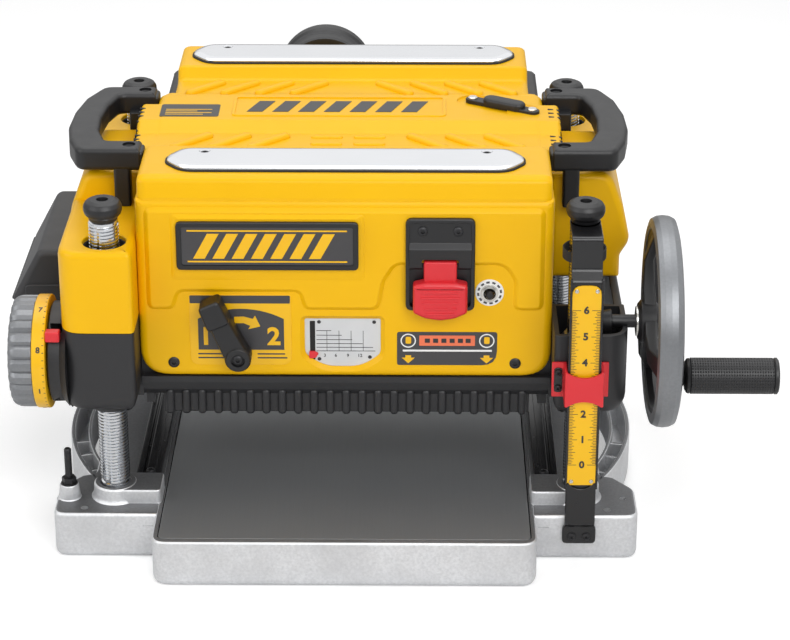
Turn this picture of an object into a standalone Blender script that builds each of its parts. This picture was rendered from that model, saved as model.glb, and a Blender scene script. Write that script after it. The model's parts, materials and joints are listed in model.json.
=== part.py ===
"""Thickness planer: a bench machine that planes boards to an even thickness.

Metres, +Z up. X runs across the table, +Y is the way a board is fed, and the origin is on the
underside of the base, below the middle of the table. The cutting head is drawn half way up its
travel. Each object is one separate piece of the machine.
"""

import math

import bmesh
import bpy
from mathutils import Matrix, Vector

MM = 0.001
GAP = 0.3 * MM
OVER = 2 * MM  # how far a cutter runs past the wall it cuts

# ---- base and table -------------------------------------------------------------------------
TABLE_WIDTH = 347 * MM
TABLE_DEPTH = 502 * MM
BASE_HEIGHT = 46 * MM
PLATE_MARGIN = 6 * MM
PLATE_THICKNESS = 1.5 * MM
WING_WIDTH = 536 * MM
WING_DEPTH = 396 * MM
BASE_WALL = 6 * MM
BASE_SKIN = 8 * MM
RAIL_HEIGHT = 7 * MM
HANDLE_BOW = 38 * MM  # how far the side grip of the base bows outwards
GRIP_CHANNEL = 20 * MM

# ---- lift posts -----------------------------------------------------------------------------
POST_X = 213.5 * MM
POST_Y = 160 * MM
POST_RADIUS = 13.5 * MM
POST_TOP = 321.3 * MM
STUD_RADIUS = 6 * MM
STUD_LENGTH = 12 * MM
CAP_RADIUS = 17.3 * MM
CAP_HEIGHT = 19 * MM
JOURNAL_RADIUS = 9 * MM
SPROCKET_RADIUS = 14 * MM
CHAIN_THICKNESS = 4 * MM
CHAIN_Z = 6.5 * MM
BOSS_HEIGHT = 14 * MM
BOSS_RADIUS = 20 * MM

# ---- cutting head ---------------------------------------------------------------------------
OPENING = 76.2 * MM  # table to knives with the head as drawn
LIFT_UP = 76.2 * MM
CUT_Z = BASE_HEIGHT + OPENING
CHEEK_X = 187 * MM  # half width of the covers between the posts
FRAME_X = 254 * MM  # half width of the head
CORNER_Y = 188 * MM
FRONT_Y = -150 * MM
REAR_Y = 235 * MM
WALL = 4 * MM
CORNER_FLOOR = CUT_Z + 20 * MM
COVER_BOTTOM = CUT_Z + 40 * MM
SIDE_SEAM = CUT_Z + 100 * MM
SHOULDER_TOP = CUT_Z + 178 * MM
SADDLE_TOP = CUT_Z + 205 * MM
TOP_SEAM = CUT_Z + 214 * MM
TOP_Z = CUT_Z + 234 * MM
SADDLE_Y = 60 * MM
POST_OPENING = CAP_RADIUS + 2.2 * MM

# ---- cutting parts and drive ----------------------------------------------------------------
CUTTER_RADIUS = 28 * MM
KNIFE_STANDOUT = 2 * MM
CUTTER_Z = CUT_Z + CUTTER_RADIUS + KNIFE_STANDOUT
ROLLER_RADIUS = 19 * MM
ROLLER_Y = 62 * MM
ROLLER_Z = CUT_Z + ROLLER_RADIUS - 0.8 * MM
DRUM_HALF = 168 * MM
PLATE_X = 176 * MM
SIDE_PLATE = 8 * MM
MOTOR_Y = 72 * MM
MOTOR_Z = CUTTER_Z + 70 * MM
MOTOR_RADIUS = 42 * MM
SHAFT_RADIUS = 8 * MM
PULLEY_X = -291 * MM
PULLEY_WIDTH = 18 * MM
CUTTER_PULLEY = 16 * MM
MOTOR_PULLEY = 8 * MM
BELT_THICKNESS = 2.5 * MM
BELT_HOUSE_X = 318 * MM

# ---- controls -------------------------------------------------------------------------------
WHEEL_Z = CUT_Z + 102 * MM
WHEEL_RADIUS = 95.5 * MM
WHEEL_X = 285 * MM
RIM_RADIUS = 11 * MM
CRANK_SHAFT = 6 * MM
GRIP_Y = -225 * MM
GRIP_Z = WHEEL_Z - 23 * MM
GRIP_RADIUS = 16.2 * MM
GRIP_LENGTH = 82 * MM
TURRET_Y = -140 * MM
TURRET_Z = CUT_Z + 61 * MM
TURRET_RADIUS = 51 * MM
SCALE_WIDTH = 27.5 * MM
SCALE_FRONT = -207 * MM
LEVER_X = -96.7 * MM
LEVER_Z = CUT_Z + 66 * MM
SWITCH_X = 85.5 * MM
SWITCH_TOP = CUT_Z + 199 * MM
RESET_X = 130 * MM
RESET_Z = CUT_Z + 125 * MM
PORT_X = -30 * MM
PORT_Z = CUT_Z + 195 * MM
PORT_RADIUS = 48 * MM

FINISHES = {
    "cast_aluminium": ((0.60, 0.61, 0.62, 1), 0.9, 0.45),
    "polished_table": ((0.20, 0.21, 0.22, 1), 1.0, 0.35),
    "chromed_steel": ((0.80, 0.80, 0.82, 1), 1.0, 0.12),
    "yellow_housing": ((0.87, 0.56, 0.01, 1), 0.0, 0.35),
    "black_housing": ((0.035, 0.035, 0.036, 1), 0.0, 0.45),
    "black_casting": ((0.035, 0.035, 0.036, 1), 0.0, 0.45),
    "black_steel": ((0.015, 0.015, 0.016, 1), 0.4, 0.40),
    "red_plastic": ((0.65, 0.03, 0.03, 1), 0.0, 0.35),
    "silver_plastic": ((0.55, 0.56, 0.57, 1), 0.2, 0.45),
    "label_plate": ((0.05, 0.05, 0.05, 1), 0.0, 0.40),
    "yellow_scale": ((0.90, 0.62, 0.02, 1), 0.0, 0.35),
    "tool_steel": ((0.45, 0.45, 0.47, 1), 1.0, 0.30),
    "rubber_belt": ((0.02, 0.02, 0.02, 1), 0.0, 0.80),
    "bronze": ((0.55, 0.35, 0.14, 1), 1.0, 0.40),
}


# ---- modelling tools ------------------------------------------------------------------------
def start_scene():
    for obj in list(bpy.data.objects):
        bpy.data.objects.remove(obj)
    planer = bpy.data.collections.new("thickness_planer")
    bpy.context.scene.collection.children.link(planer)
    return planer


PLANER = start_scene()


def material(finish):
    found = bpy.data.materials.get(finish)
    if found:
        return found
    color, metallic, roughness = FINISHES[finish]
    made = bpy.data.materials.new(finish)
    made.use_nodes = True
    shader = made.node_tree.nodes["Principled BSDF"]
    shader.inputs["Base Color"].default_value = color
    shader.inputs["Metallic"].default_value = metallic
    shader.inputs["Roughness"].default_value = roughness
    return made


def add_object(mesh, name="piece"):
    obj = bpy.data.objects.new(name, mesh)
    PLANER.objects.link(obj)
    return obj


def part(obj, name, finish, pivot=None):
    """Names a finished piece, gives it its finish, and puts its origin on its pivot or at its middle."""
    corners = [Vector(corner) for corner in obj.bound_box]
    place = Vector(pivot) if pivot else (corners[0] + corners[6]) / 2
    obj.data.transform(Matrix.Translation(-place))
    obj.location = place
    obj.name = name
    obj.data.name = name
    obj.data.materials.clear()
    obj.data.materials.append(material(finish))
    obj.data.shade_smooth()
    obj.data.set_sharp_from_angle(angle=math.radians(35))
    return obj


def mesh_object(work):
    """A new object from a bmesh, with its faces turned outwards."""
    bmesh.ops.recalc_face_normals(work, faces=work.faces)
    if work.calc_volume(signed=True) < 0:
        bmesh.ops.reverse_faces(work, faces=work.faces)
    mesh = bpy.data.meshes.new("piece")
    work.to_mesh(mesh)
    work.free()
    return add_object(mesh)


def baked(obj):
    """The object with its modifiers applied to its mesh."""
    graph = bpy.context.evaluated_depsgraph_get()
    mesh = bpy.data.meshes.new_from_object(obj.evaluated_get(graph), depsgraph=graph)
    obj.modifiers.clear()
    obj.data = mesh
    return obj


def combined(target, others, operation):
    for other in others:
        step = target.modifiers.new(operation.lower(), "BOOLEAN")
        step.operation = operation
        step.object = other
        step.solver = "EXACT"
        baked(target)
        bpy.data.objects.remove(other)
    return target


def cut(target, *cutters):
    return combined(target, cutters, "DIFFERENCE")


def join(target, *others):
    return combined(target, others, "UNION")


def box(x, y, z, bevel=0.0, segments=2, along=None):
    """A block between the given ends. Bevel rounds all edges, or those that run along one axis."""
    work = bmesh.new()
    bmesh.ops.create_cube(work, size=1)
    size = Vector([max(ends) - min(ends) for ends in (x, y, z)])
    middle = Vector([sum(ends) / 2 for ends in (x, y, z)])
    bmesh.ops.transform(
        work, matrix=Matrix.Translation(middle) @ Matrix.Diagonal(size).to_4x4(), verts=work.verts
    )
    if bevel:
        edges = [
            edge
            for edge in work.edges
            if along is None or abs(
                (edge.verts[0].co - edge.verts[1].co).normalized()["XYZ".index(along)]
            ) > 0.9
        ]
        bmesh.ops.bevel(work, geom=edges, offset=bevel, segments=segments, affect="EDGES", profile=0.5)
    return mesh_object(work)


AXES = {
    "X": Matrix(((0, 0, 1), (1, 0, 0), (0, 1, 0))),
    "Y": Matrix(((0, 1, 0), (0, 0, 1), (1, 0, 0))),
    "Z": Matrix.Identity(3),
}


def cylinder(axis, centre, radius, ends, segments=24, tip=None):
    """A round bar along an axis. Centre gives the two other coordinates, in X, Y, Z order."""
    work = bmesh.new()
    length = abs(ends[1] - ends[0])
    bmesh.ops.create_cone(
        work,
        cap_ends=True,
        segments=segments,
        radius1=radius,
        radius2=radius if tip is None else tip,
        depth=length,
    )
    place = list(centre)
    place.insert("XYZ".index(axis), (ends[0] + ends[1]) / 2)
    turn = AXES[axis].to_4x4()
    bmesh.ops.transform(work, matrix=Matrix.Translation(place) @ turn, verts=work.verts)
    return mesh_object(work)


def prism(axis, outline, ends, holes=()):
    """A flat outline with thickness. The outline gives the two other coordinates, in X, Y, Z order."""
    curve = bpy.data.curves.new("outline", "CURVE")
    curve.dimensions = "2D"
    curve.fill_mode = "BOTH"
    curve.extrude = abs(ends[1] - ends[0]) / 2
    for points in (outline, *holes):
        spline = curve.splines.new("POLY")
        spline.points.add(len(points) - 1)
        for point, (u, v) in zip(spline.points, points):
            point.co = (u, v, 0, 1)
        spline.use_cyclic_u = True
    sheet = add_object(curve)
    graph = bpy.context.evaluated_depsgraph_get()
    mesh = bpy.data.meshes.new_from_object(sheet.evaluated_get(graph), depsgraph=graph)
    bpy.data.objects.remove(sheet)
    work = bmesh.new()
    work.from_mesh(mesh)
    bmesh.ops.remove_doubles(work, verts=work.verts, dist=0.01 * MM)
    for vert in work.verts:
        u, v, w = vert.co
        w += (ends[0] + ends[1]) / 2
        vert.co = {"X": (w, u, v), "Y": (u, w, v), "Z": (u, v, w)}[axis]
    return mesh_object(work)


def turned(axis, centre, profile, segments=24, closed=False):
    """A turned piece. The profile gives (distance along the axis, radius) from end to end."""
    work = bmesh.new()
    points = [work.verts.new((radius, 0, along)) for along, radius in profile]
    for first, second in zip(points, points[1:] + points[:1] if closed else points[1:]):
        work.edges.new((first, second))
    mesh = bpy.data.meshes.new("profile")
    work.to_mesh(mesh)
    work.free()
    obj = add_object(mesh)
    screw = obj.modifiers.new("turn", "SCREW")
    screw.axis = "Z"
    screw.steps = screw.render_steps = segments
    screw.use_merge_vertices = True
    screw.merge_threshold = 0.00001
    baked(obj)
    place = list(centre)
    place.insert("XYZ".index(axis), 0)
    work = bmesh.new()
    work.from_mesh(obj.data)
    bmesh.ops.remove_doubles(work, verts=work.verts, dist=0.01 * MM)
    bmesh.ops.transform(work, matrix=Matrix.Translation(place) @ AXES[axis].to_4x4(), verts=work.verts)
    bpy.data.objects.remove(obj)
    return mesh_object(work)


def arc(centre, radius, start, end, steps):
    """Points of an arc, angles in degrees."""
    angles = [math.radians(start + (end - start) * step / steps) for step in range(steps + 1)]
    return [(centre[0] + radius * math.cos(a), centre[1] + radius * math.sin(a)) for a in angles]


def rounded(x, y, radii, steps=3):
    """A rectangle's outline with a radius for each corner, from low x and low y, anticlockwise."""
    corners = [
        (x[0], y[0], 1, 1, 180), (x[1], y[0], -1, 1, 270), (x[1], y[1], -1, -1, 0), (x[0], y[1], 1, -1, 90)
    ]
    points = []
    for (cx, cy, dx, dy, start), radius in zip(corners, radii):
        if radius:
            points += arc((cx + dx * radius, cy + dy * radius), radius, start, start + 90, steps)
        else:
            points.append((cx, cy))
    return points


def belt_outline(first, first_radius, second, second_radius, steps=8):
    """The outer tangent loop round two circles."""
    across = Vector(second) - Vector(first)
    lean = math.degrees(math.atan2(across.y, across.x))
    open_angle = math.degrees(math.acos((first_radius - second_radius) / across.length))
    loop = arc(first, first_radius, lean + open_angle, lean + 360 - open_angle, steps * 2)
    return loop + arc(second, second_radius, lean - open_angle, lean + open_angle, steps + 2)


def mirrored(obj):
    """A copy on the other side of the middle plane."""
    twin = add_object(obj.data.copy())
    work = bmesh.new()
    work.from_mesh(twin.data)
    bmesh.ops.scale(work, vec=(-1, 1, 1), verts=work.verts)
    bmesh.ops.recalc_face_normals(work, faces=work.faces)
    work.to_mesh(twin.data)
    work.free()
    return twin


CORNERS = [
    ("front_left", -1, -1),
    ("front_right", 1, -1),
    ("rear_left", -1, 1),
    ("rear_right", 1, 1),
]


# ---- base -----------------------------------------------------------------------------------
SLAB_X = 238 * MM  # half width of the base between the side grips
GRIP_HALF = 133 * MM
GRIP_RADIUS_OUT = (GRIP_HALF**2 + HANDLE_BOW**2) / (2 * HANDLE_BOW)
GRIP_CENTRE = WING_WIDTH / 2 + 6 * MM - GRIP_RADIUS_OUT
STOP_X = -(FRAME_X + 2 * MM)
STOP_Y = -(POST_Y + 5 * MM)


def base_plan():
    """The outline of the base beside the table, seen from above."""
    wing_x, wing_y = WING_WIDTH / 2, WING_DEPTH / 2
    quarter = [
        (SLAB_X, 118 * MM), (wing_x - 18 * MM, 122 * MM), (wing_x, 145 * MM), (wing_x, wing_y - 10 * MM)
    ]
    quarter += [(wing_x - 3 * MM, wing_y - 3 * MM), (wing_x - 10 * MM, wing_y)]
    right = [(x, -y) for x, y in reversed(quarter)] + quarter
    return right + [(-x, -y) for x, y in right]


def side_grip():
    """The bowed grip at the right-hand side, a channel with two ribs, open at the top."""
    centre = (GRIP_CENTRE, 0)
    inner = GRIP_RADIUS_OUT - GRIP_CHANNEL
    plan = arc(centre, GRIP_RADIUS_OUT, -31, 31, 16) + arc(centre, inner, 31, -31, 16)
    grip = prism("Z", plan, (10 * MM, BASE_HEIGHT))
    for start, end in ((-27, -20), (-18, -13), (-11, 27)):
        steps = 2 if end < 0 else 8
        pocket = arc(
            centre, GRIP_RADIUS_OUT - WALL, start, end, steps
        ) + arc(centre, inner + WALL, end, start, steps)
        cut(grip, prism("Z", pocket, (20 * MM, BASE_HEIGHT + OVER)))
    return grip


def underside(casting):
    """Hollows the casting from below, leaving walls, ribs and the post bosses."""
    roof = BASE_HEIGHT - BASE_SKIN
    side = TABLE_WIDTH / 2 - 8 * MM
    rib = 4 * MM
    end = TABLE_DEPTH / 2 - 8 * MM
    for x in ((-side, -rib), (rib, side)):
        for y in ((-end, -rib), (rib, end)):
            cut(casting, box(x, y, (-OVER, roof)))
    for sign in (-1, 1):
        inner, outer = TABLE_WIDTH / 2 + 4 * MM, SLAB_X - 5 * MM
        middle = box((sign * inner, sign * outer), (-112 * MM, 112 * MM), (-OVER, roof))
        cut(casting, middle)
        for way in (-1, 1):
            pocket = box(
                (sign * inner, sign * (WING_WIDTH / 2 - BASE_WALL)),
                (way * 150 * MM, way * (WING_DEPTH / 2 - BASE_WALL)),
                (-OVER, roof),
            )
            cut(
                pocket,
                cylinder("Z", (sign * POST_X, way * POST_Y), BOSS_RADIUS - 1 * MM, (13 * MM, BASE_HEIGHT)),
            )
            cut(casting, pocket)
    return casting


def chain_outline(offset, steps=4):
    """The loop of the lift chain round the four sprockets, a distance out from the sprocket rims."""
    radius = SPROCKET_RADIUS + offset
    loop = []
    for sx, sy, start in ((1, -1, 270), (1, 1, 0), (-1, 1, 90), (-1, -1, 180)):
        loop += arc((sx * POST_X, sy * POST_Y), radius, start, start + 90, steps)
    return loop


def make_base():
    half_width, half_depth = TABLE_WIDTH / 2, TABLE_DEPTH / 2
    casting = prism(
        "Z", rounded((-half_width, half_width), (-half_depth, half_depth), [8 * MM] * 4), (0, BASE_HEIGHT)
    )
    join(casting, prism("Z", base_plan(), (0, BASE_HEIGHT)))
    grip = side_grip()
    join(casting, mirrored(grip), grip)
    boss_top = BASE_HEIGHT + BOSS_HEIGHT
    for _, sx, sy in CORNERS:
        step = box(
            (sx * (half_width - OVER), sx * POST_X),
            (sy * (POST_Y - 18 * MM), sy * (POST_Y + 18 * MM)),
            (BASE_HEIGHT - OVER, boss_top - 0.5 * MM),
        )
        join(
            casting,
            step,
            cylinder("Z", (sx * POST_X, sy * POST_Y), BOSS_RADIUS, (BASE_HEIGHT - 1 * MM, boss_top)),
        )
    join(casting, cylinder("Z", (STOP_X, STOP_Y), 9 * MM, (BASE_HEIGHT - 4 * MM, boss_top)))
    underside(casting)
    chain_room = 4 * MM
    around = chain_outline(CHAIN_THICKNESS + 1 * MM + chain_room)
    cut(casting, prism("Z", around, (-OVER, 12 * MM), [chain_outline(-chain_room)]))
    for _, sx, sy in CORNERS:
        place = (sx * POST_X, sy * POST_Y)
        roof = (BASE_HEIGHT - BASE_SKIN - OVER, BASE_HEIGHT + OVER)
        cut(
            casting,
            cylinder("Z", place, POST_RADIUS + GAP, (14 * MM, boss_top + OVER)),
            cylinder("Z", place, JOURNAL_RADIUS + GAP, (-OVER, 15 * MM)),
            cylinder("Z", place, SPROCKET_RADIUS + 3 * MM, (-OVER, 12.5 * MM)),
            cylinder("Z", (sx * 240 * MM, sy * 187 * MM), 3.5 * MM, roof, 12),
        )
    cut(casting, cylinder("Z", (STOP_X, STOP_Y), 3.4 * MM + GAP, (BASE_HEIGHT, boss_top + OVER), 16))
    plate_x, plate_y = half_width - PLATE_MARGIN, half_depth - 8 * MM
    seat = BASE_HEIGHT - PLATE_THICKNESS - GAP
    cut(
        casting,
        box((-plate_x - GAP, plate_x + GAP), (-plate_y - GAP, plate_y + GAP), (seat, BASE_HEIGHT + OVER)),
    )
    part(casting, "base_casting", "cast_aluminium")
    plate = box((-plate_x, plate_x), (-plate_y, plate_y), (seat + GAP, BASE_HEIGHT), 4 * MM, 2, "Z")
    part(plate, "table_plate", "polished_table")


def make_side_rails():
    """The dark guide rails that lie beside the table."""
    inner = TABLE_WIDTH / 2 + 2 * MM
    foot = BASE_HEIGHT + GAP
    profile = [
        (inner, foot),
        (inner + 22 * MM, foot),
        (inner + 22 * MM, foot + RAIL_HEIGHT),
        (inner + 16 * MM, foot + RAIL_HEIGHT),
        (inner + 16 * MM, foot + 2 * MM),
        (inner + 13 * MM, foot + 2 * MM),
        (inner + 13 * MM, foot + RAIL_HEIGHT),
        (inner, foot + RAIL_HEIGHT),
    ]
    reach = POST_Y - 25 * MM
    rail = prism("Y", profile, (-reach, reach))
    part(mirrored(rail), "side_rail_left", "black_steel")
    part(rail, "side_rail_right", "black_steel")


def make_lift():
    """Posts with their sprockets, the chain under the base, caps, nuts and the gear on one post."""
    for name, sx, sy in CORNERS:
        place = (sx * POST_X, sy * POST_Y)
        shoulder = POST_TOP - (3.3 * MM if name == "front_right" else 0)
        low = CHAIN_Z - 2 * MM
        profile = [
            (low, 0),
            (low, SPROCKET_RADIUS),
            (low + CHAIN_THICKNESS, SPROCKET_RADIUS),
            (low + CHAIN_THICKNESS, JOURNAL_RADIUS),
            (14 * MM + GAP, JOURNAL_RADIUS),
            (14 * MM + GAP, POST_RADIUS),
            (shoulder, POST_RADIUS),
            (shoulder, STUD_RADIUS),
            (POST_TOP + STUD_LENGTH, STUD_RADIUS),
            (POST_TOP + STUD_LENGTH, 0),
        ]
        part(turned("Z", place, profile, 20), f"lift_post_{name}", "chromed_steel", (*place, POST_TOP / 2))
        base, top = POST_TOP + GAP, POST_TOP + GAP + CAP_HEIGHT
        cap = turned(
            "Z",
            place,
            [
                (POST_TOP + STUD_LENGTH + GAP, 0),
                (POST_TOP + STUD_LENGTH + GAP, STUD_RADIUS + GAP),
                (base, STUD_RADIUS + GAP),
                (base, CAP_RADIUS - 1.5 * MM),
                (base + 8 * MM, CAP_RADIUS),
                (top - 5 * MM, CAP_RADIUS),
                (top, CAP_RADIUS - 6 * MM),
                (top, 5 * MM),
                (top - 5 * MM, 5 * MM),
                (top - 5 * MM, 0),
            ],
            20,
        )
        part(cap, f"post_cap_{name}", "black_steel", (*place, base))
        floor = CORNER_FLOOR + 6 * MM + GAP
        nut = turned(
            "Z",
            place,
            [
                (floor, POST_RADIUS + GAP),
                (floor, 20.5 * MM),
                (floor + 8 * MM, 20.5 * MM),
                (floor + 8 * MM, 18 * MM),
                (SIDE_SEAM - 22 * MM, 18 * MM),
                (SIDE_SEAM - 22 * MM, POST_RADIUS + GAP),
            ],
            20,
            closed=True,
        )
        part(nut, f"lift_nut_{name}", "bronze", (*place, floor))
    chain = prism(
        "Z",
        chain_outline(1 * MM + CHAIN_THICKNESS),
        (CHAIN_Z - 2 * MM, CHAIN_Z + 2 * MM),
        [chain_outline(1 * MM)],
    )
    part(chain, "lift_chain", "tool_steel")
    seat = SIDE_SEAM - 22 * MM + GAP
    gear = turned(
        "Z",
        (POST_X, -POST_Y),
        [
            (seat, POST_RADIUS + GAP),
            (seat, 20.5 * MM),
            (seat + 6 * MM, 20.5 * MM),
            (seat + 12 * MM, 16 * MM),
            (seat + 12 * MM, POST_RADIUS + GAP),
        ],
        24,
        closed=True,
    )
    part(gear, "lift_bevel_gear", "tool_steel", (POST_X, -POST_Y, seat))


def make_scale():
    """The post-side bracket with the inch scale on its front."""
    foot_back = -(WING_DEPTH / 2 + GAP)
    thickness = 3 * MM
    front = SCALE_FRONT
    upper = front + 8 * MM
    top = POST_TOP
    flange = top - thickness
    profile = [
        (foot_back, 20 * MM),
        (foot_back, 37 * MM),
        (front + thickness, 43 * MM),
        (front + thickness, 281 * MM),
        (upper + thickness, 290 * MM),
        (upper + thickness, flange),
        (-POST_Y, flange),
        (-POST_Y, top - GAP),
        (upper, top - GAP),
        (upper, 291 * MM),
        (front, 282 * MM),
        (front, 42 * MM),
        (foot_back - thickness, 36 * MM),
        (foot_back - thickness, 20 * MM),
    ]
    half = SCALE_WIDTH / 2
    bracket = prism("X", profile, (POST_X - half, POST_X + half))
    join(bracket, cylinder("Z", (POST_X, -POST_Y), half, (flange, top - GAP)))
    cut(bracket, cylinder("Z", (POST_X, -POST_Y), STUD_RADIUS + GAP, (flange - OVER, top + OVER), 16))
    part(bracket, "scale_bracket", "black_steel")
    plate = box(
        (POST_X - half, POST_X + half),
        (front - 1.5 * MM, front - GAP),
        (83 * MM, 279.5 * MM),
        2 * MM,
        2,
        "Y",
    )
    part(plate, "depth_scale", "yellow_scale")


def make_stop_bolt():
    """The screw under the stop turret, with its lock nut."""
    seat = BASE_HEIGHT + BOSS_HEIGHT + GAP
    bolt = cylinder("Z", (STOP_X, STOP_Y), 3.4 * MM, (BASE_HEIGHT + GAP, BASE_HEIGHT + 50 * MM), 16)
    join(bolt, cylinder("Z", (STOP_X, STOP_Y), 6.5 * MM, (seat, seat + 8 * MM), 6))
    part(bolt, "depth_stop_bolt", "black_steel")


# ---- carriage and covers --------------------------------------------------------------------
def corner_block(sx, sy, bottom, top, grow=0.0, radius=20 * MM, inner_y=118 * MM):
    """A block round a post, with its outer corner rounded. A negative grow gives the space inside."""
    inner_x = CHEEK_X + GAP - grow
    x = (inner_x, FRAME_X + grow)
    y = (inner_y - grow, CORNER_Y + grow)
    outline = rounded(x, y, [0, 0, radius + grow, 0], 4)
    return prism("Z", [(sx * u, sy * v) for u, v in outline], (bottom, top))


def make_frame():
    """The dark lower carriage: front and rear aprons, sides, and a tray round each post."""
    apron_top = COVER_BOTTOM - GAP
    frame = box((-CHEEK_X, CHEEK_X), (FRONT_Y + 1 * MM, FRONT_Y + 12 * MM), (CUT_Z + 24 * MM, apron_top))
    join(
        frame,
        box((-CHEEK_X, CHEEK_X), (FRONT_Y + 7 * MM, FRONT_Y + 12 * MM), (CUT_Z + 1 * MM, CUT_Z + 26 * MM)),
    )
    rear = -FRONT_Y - 12 * MM
    join(frame, box((-CHEEK_X, CHEEK_X), (rear, rear + 12 * MM), (CUT_Z + 1 * MM, apron_top)))
    for sx in (-1, 1):  # clear of the raised corners of the base when the head is right down
        corner = (sx * (TABLE_WIDTH / 2 - 5 * MM), sx * (CHEEK_X + OVER))
        cut(frame, box(corner, (FRONT_Y - OVER, -FRONT_Y + OVER), (CUT_Z - OVER, CORNER_FLOOR)))
    for _, sx, sy in CORNERS:
        join(frame, corner_block(sx, sy, CORNER_FLOOR, SIDE_SEAM - GAP))
    wall_top = min(SIDE_SEAM - 8 * MM, MOTOR_Z - SHAFT_RADIUS - 2 * GAP)
    for sx in (-1, 1):
        join(
            frame,
            box(
                (sx * (FRAME_X - 8 * MM), sx * FRAME_X),
                (-120 * MM, 120 * MM),
                (CORNER_FLOOR, wall_top),
            ),
        )
        join(
            frame,
            box(
                (sx * (CHEEK_X - OVER), sx * (CHEEK_X + 8 * MM)),
                (-149 * MM, 149 * MM),
                (CORNER_FLOOR, COVER_BOTTOM - GAP),
            ),
        )
    boss = cylinder("X", (TURRET_Y, TURRET_Z), 46 * MM, (-FRAME_X - 14 * MM, -FRAME_X - GAP), 32)
    root = box(
        (-FRAME_X - OVER, -FRAME_X + 3 * MM),
        (TURRET_Y - 32 * MM, TURRET_Y + 24 * MM),
        (CORNER_FLOOR + 3 * MM, SIDE_SEAM - OVER),
    )
    join(frame, join(boss, root))
    for _, sx, sy in CORNERS:
        cut(frame, corner_block(sx, sy, CORNER_FLOOR + 6 * MM, SIDE_SEAM + OVER, -5 * MM))
        cut(
            frame,
            cylinder(
                "Z",
                (sx * POST_X, sy * POST_Y),
                POST_RADIUS + 2 * MM,
                (CORNER_FLOOR - OVER, CORNER_FLOOR + 8 * MM),
            ),
        )
    for sx in (-1, 1):
        cut(frame, cylinder("X", (0, CUTTER_Z), 14 * MM, (sx * (CHEEK_X - 3 * MM), sx * (FRAME_X + OVER))))
        for sy in (-1, 1):
            window = box(
                (sx * (CHEEK_X + 12 * MM), sx * (FRAME_X - 12 * MM)),
                (sy * 112 * MM, sy * 126 * MM),
                (CORNER_FLOOR + 12 * MM, SIDE_SEAM + OVER),
            )
            cut(frame, window)
    cut(
        frame, cylinder("X", (-POST_Y, WHEEL_Z), CRANK_SHAFT + GAP, (FRAME_X - 10 * MM, FRAME_X + OVER), 20)
    )
    cut(
        frame,
        cylinder(
            "X", (TURRET_Y, TURRET_Z), SHAFT_RADIUS + GAP, (-FRAME_X - 16 * MM, -FRAME_X + 8 * MM), 16
        ),
    )
    cut(
        frame, cylinder("Z", (STOP_X, STOP_Y), 9 * MM, (CORNER_FLOOR - 10 * MM, BASE_HEIGHT + 130 * MM), 16)
    )
    part(frame, "carriage_frame", "black_casting")


def make_front_cover():
    radius = 28 * MM
    top = TOP_SEAM - GAP
    outline = rounded((-CHEEK_X, CHEEK_X), (COVER_BOTTOM, top), [radius, radius, 0, 0], 5)
    cover = prism("Y", outline, (FRONT_Y, FRONT_Y + 32 * MM))
    inner = rounded(
        (-CHEEK_X + WALL, CHEEK_X - WALL),
        (COVER_BOTTOM + WALL, top + OVER),
        [radius - WALL, radius - WALL, 0, 0],
        5,
    )
    cut(cover, prism("Y", inner, (FRONT_Y + WALL, FRONT_Y + 40 * MM)))
    wall = (FRONT_Y - OVER, FRONT_Y + 3 * WALL)
    cut(
        cover,
        box((SWITCH_X - 25 * MM, SWITCH_X + 25 * MM), wall, (SWITCH_TOP - 84 * MM, SWITCH_TOP - 6 * MM)),
        box((-35 * MM, 25 * MM), wall, (GAUGE_Z, GAUGE_Z + 42 * MM)),
        cylinder("Y", (RESET_X, RESET_Z), 5.5 * MM, wall, 16),
        cylinder("Y", (LEVER_X, LEVER_Z), 6 * MM + GAP, wall, 16),
    )
    part(cover, "front_cover", "yellow_housing")


GAUGE_Z = CUT_Z + 53 * MM
BAND_X = 200 * MM
REAR_DECK_X = 174 * MM
BAR_LENGTH = 321 * MM
BAR_WIDTH = 51 * MM
FRONT_BAR_Y = -107 * MM
REAR_BAR_Y = 192 * MM


def deck_profile(inset):
    """The top cover cut across: bar decks front and rear, and a raised band between them."""
    field = TOP_Z - 12 * MM - inset
    band = TOP_Z - 4 * MM - inset
    deck = TOP_Z - inset
    front, back = FRONT_Y + 2 * MM + inset, REAR_Y - 3 * MM - inset
    low = TOP_SEAM - (OVER if inset else 0)
    return [
        (front, low),
        (front + 4 * MM, deck - 4 * MM),
        (front + 9 * MM, deck),
        (-64 * MM, deck),
        (-50 * MM, field),
        (0, field),
        (14 * MM, band),
        (86 * MM, band),
        (98 * MM, field),
        (152 * MM, field),
        (160 * MM, deck),
        (back - 8 * MM, deck),
        (back - 2 * MM, deck - 5 * MM),
        (back, low),
    ]


def make_top_cover():
    half = CHEEK_X - 2 * MM
    cover = prism("X", deck_profile(0), (-half, half))
    band = prism("X", [(-46 * MM, TOP_SEAM), (-46 * MM, TOP_Z - 12 * MM), (0, TOP_Z - 12 * MM), (14 * MM, TOP_Z - 4 * MM),
                       (60 * MM, TOP_Z - 4 * MM), (60 * MM, TOP_SEAM)], (-BAND_X, BAND_X))
    join(cover, band)
    for sx in (-1, 1):
        cut(
            cover,
            box((sx * REAR_DECK_X, sx * (half + OVER)), (98 * MM, REAR_Y), (TOP_SEAM - OVER, TOP_Z + OVER)),
        )
    hollow = prism("X", deck_profile(3.5 * MM), (-REAR_DECK_X + WALL, REAR_DECK_X - WALL))
    cut(cover, hollow)
    part(cover, "top_cover", "yellow_housing")


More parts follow.
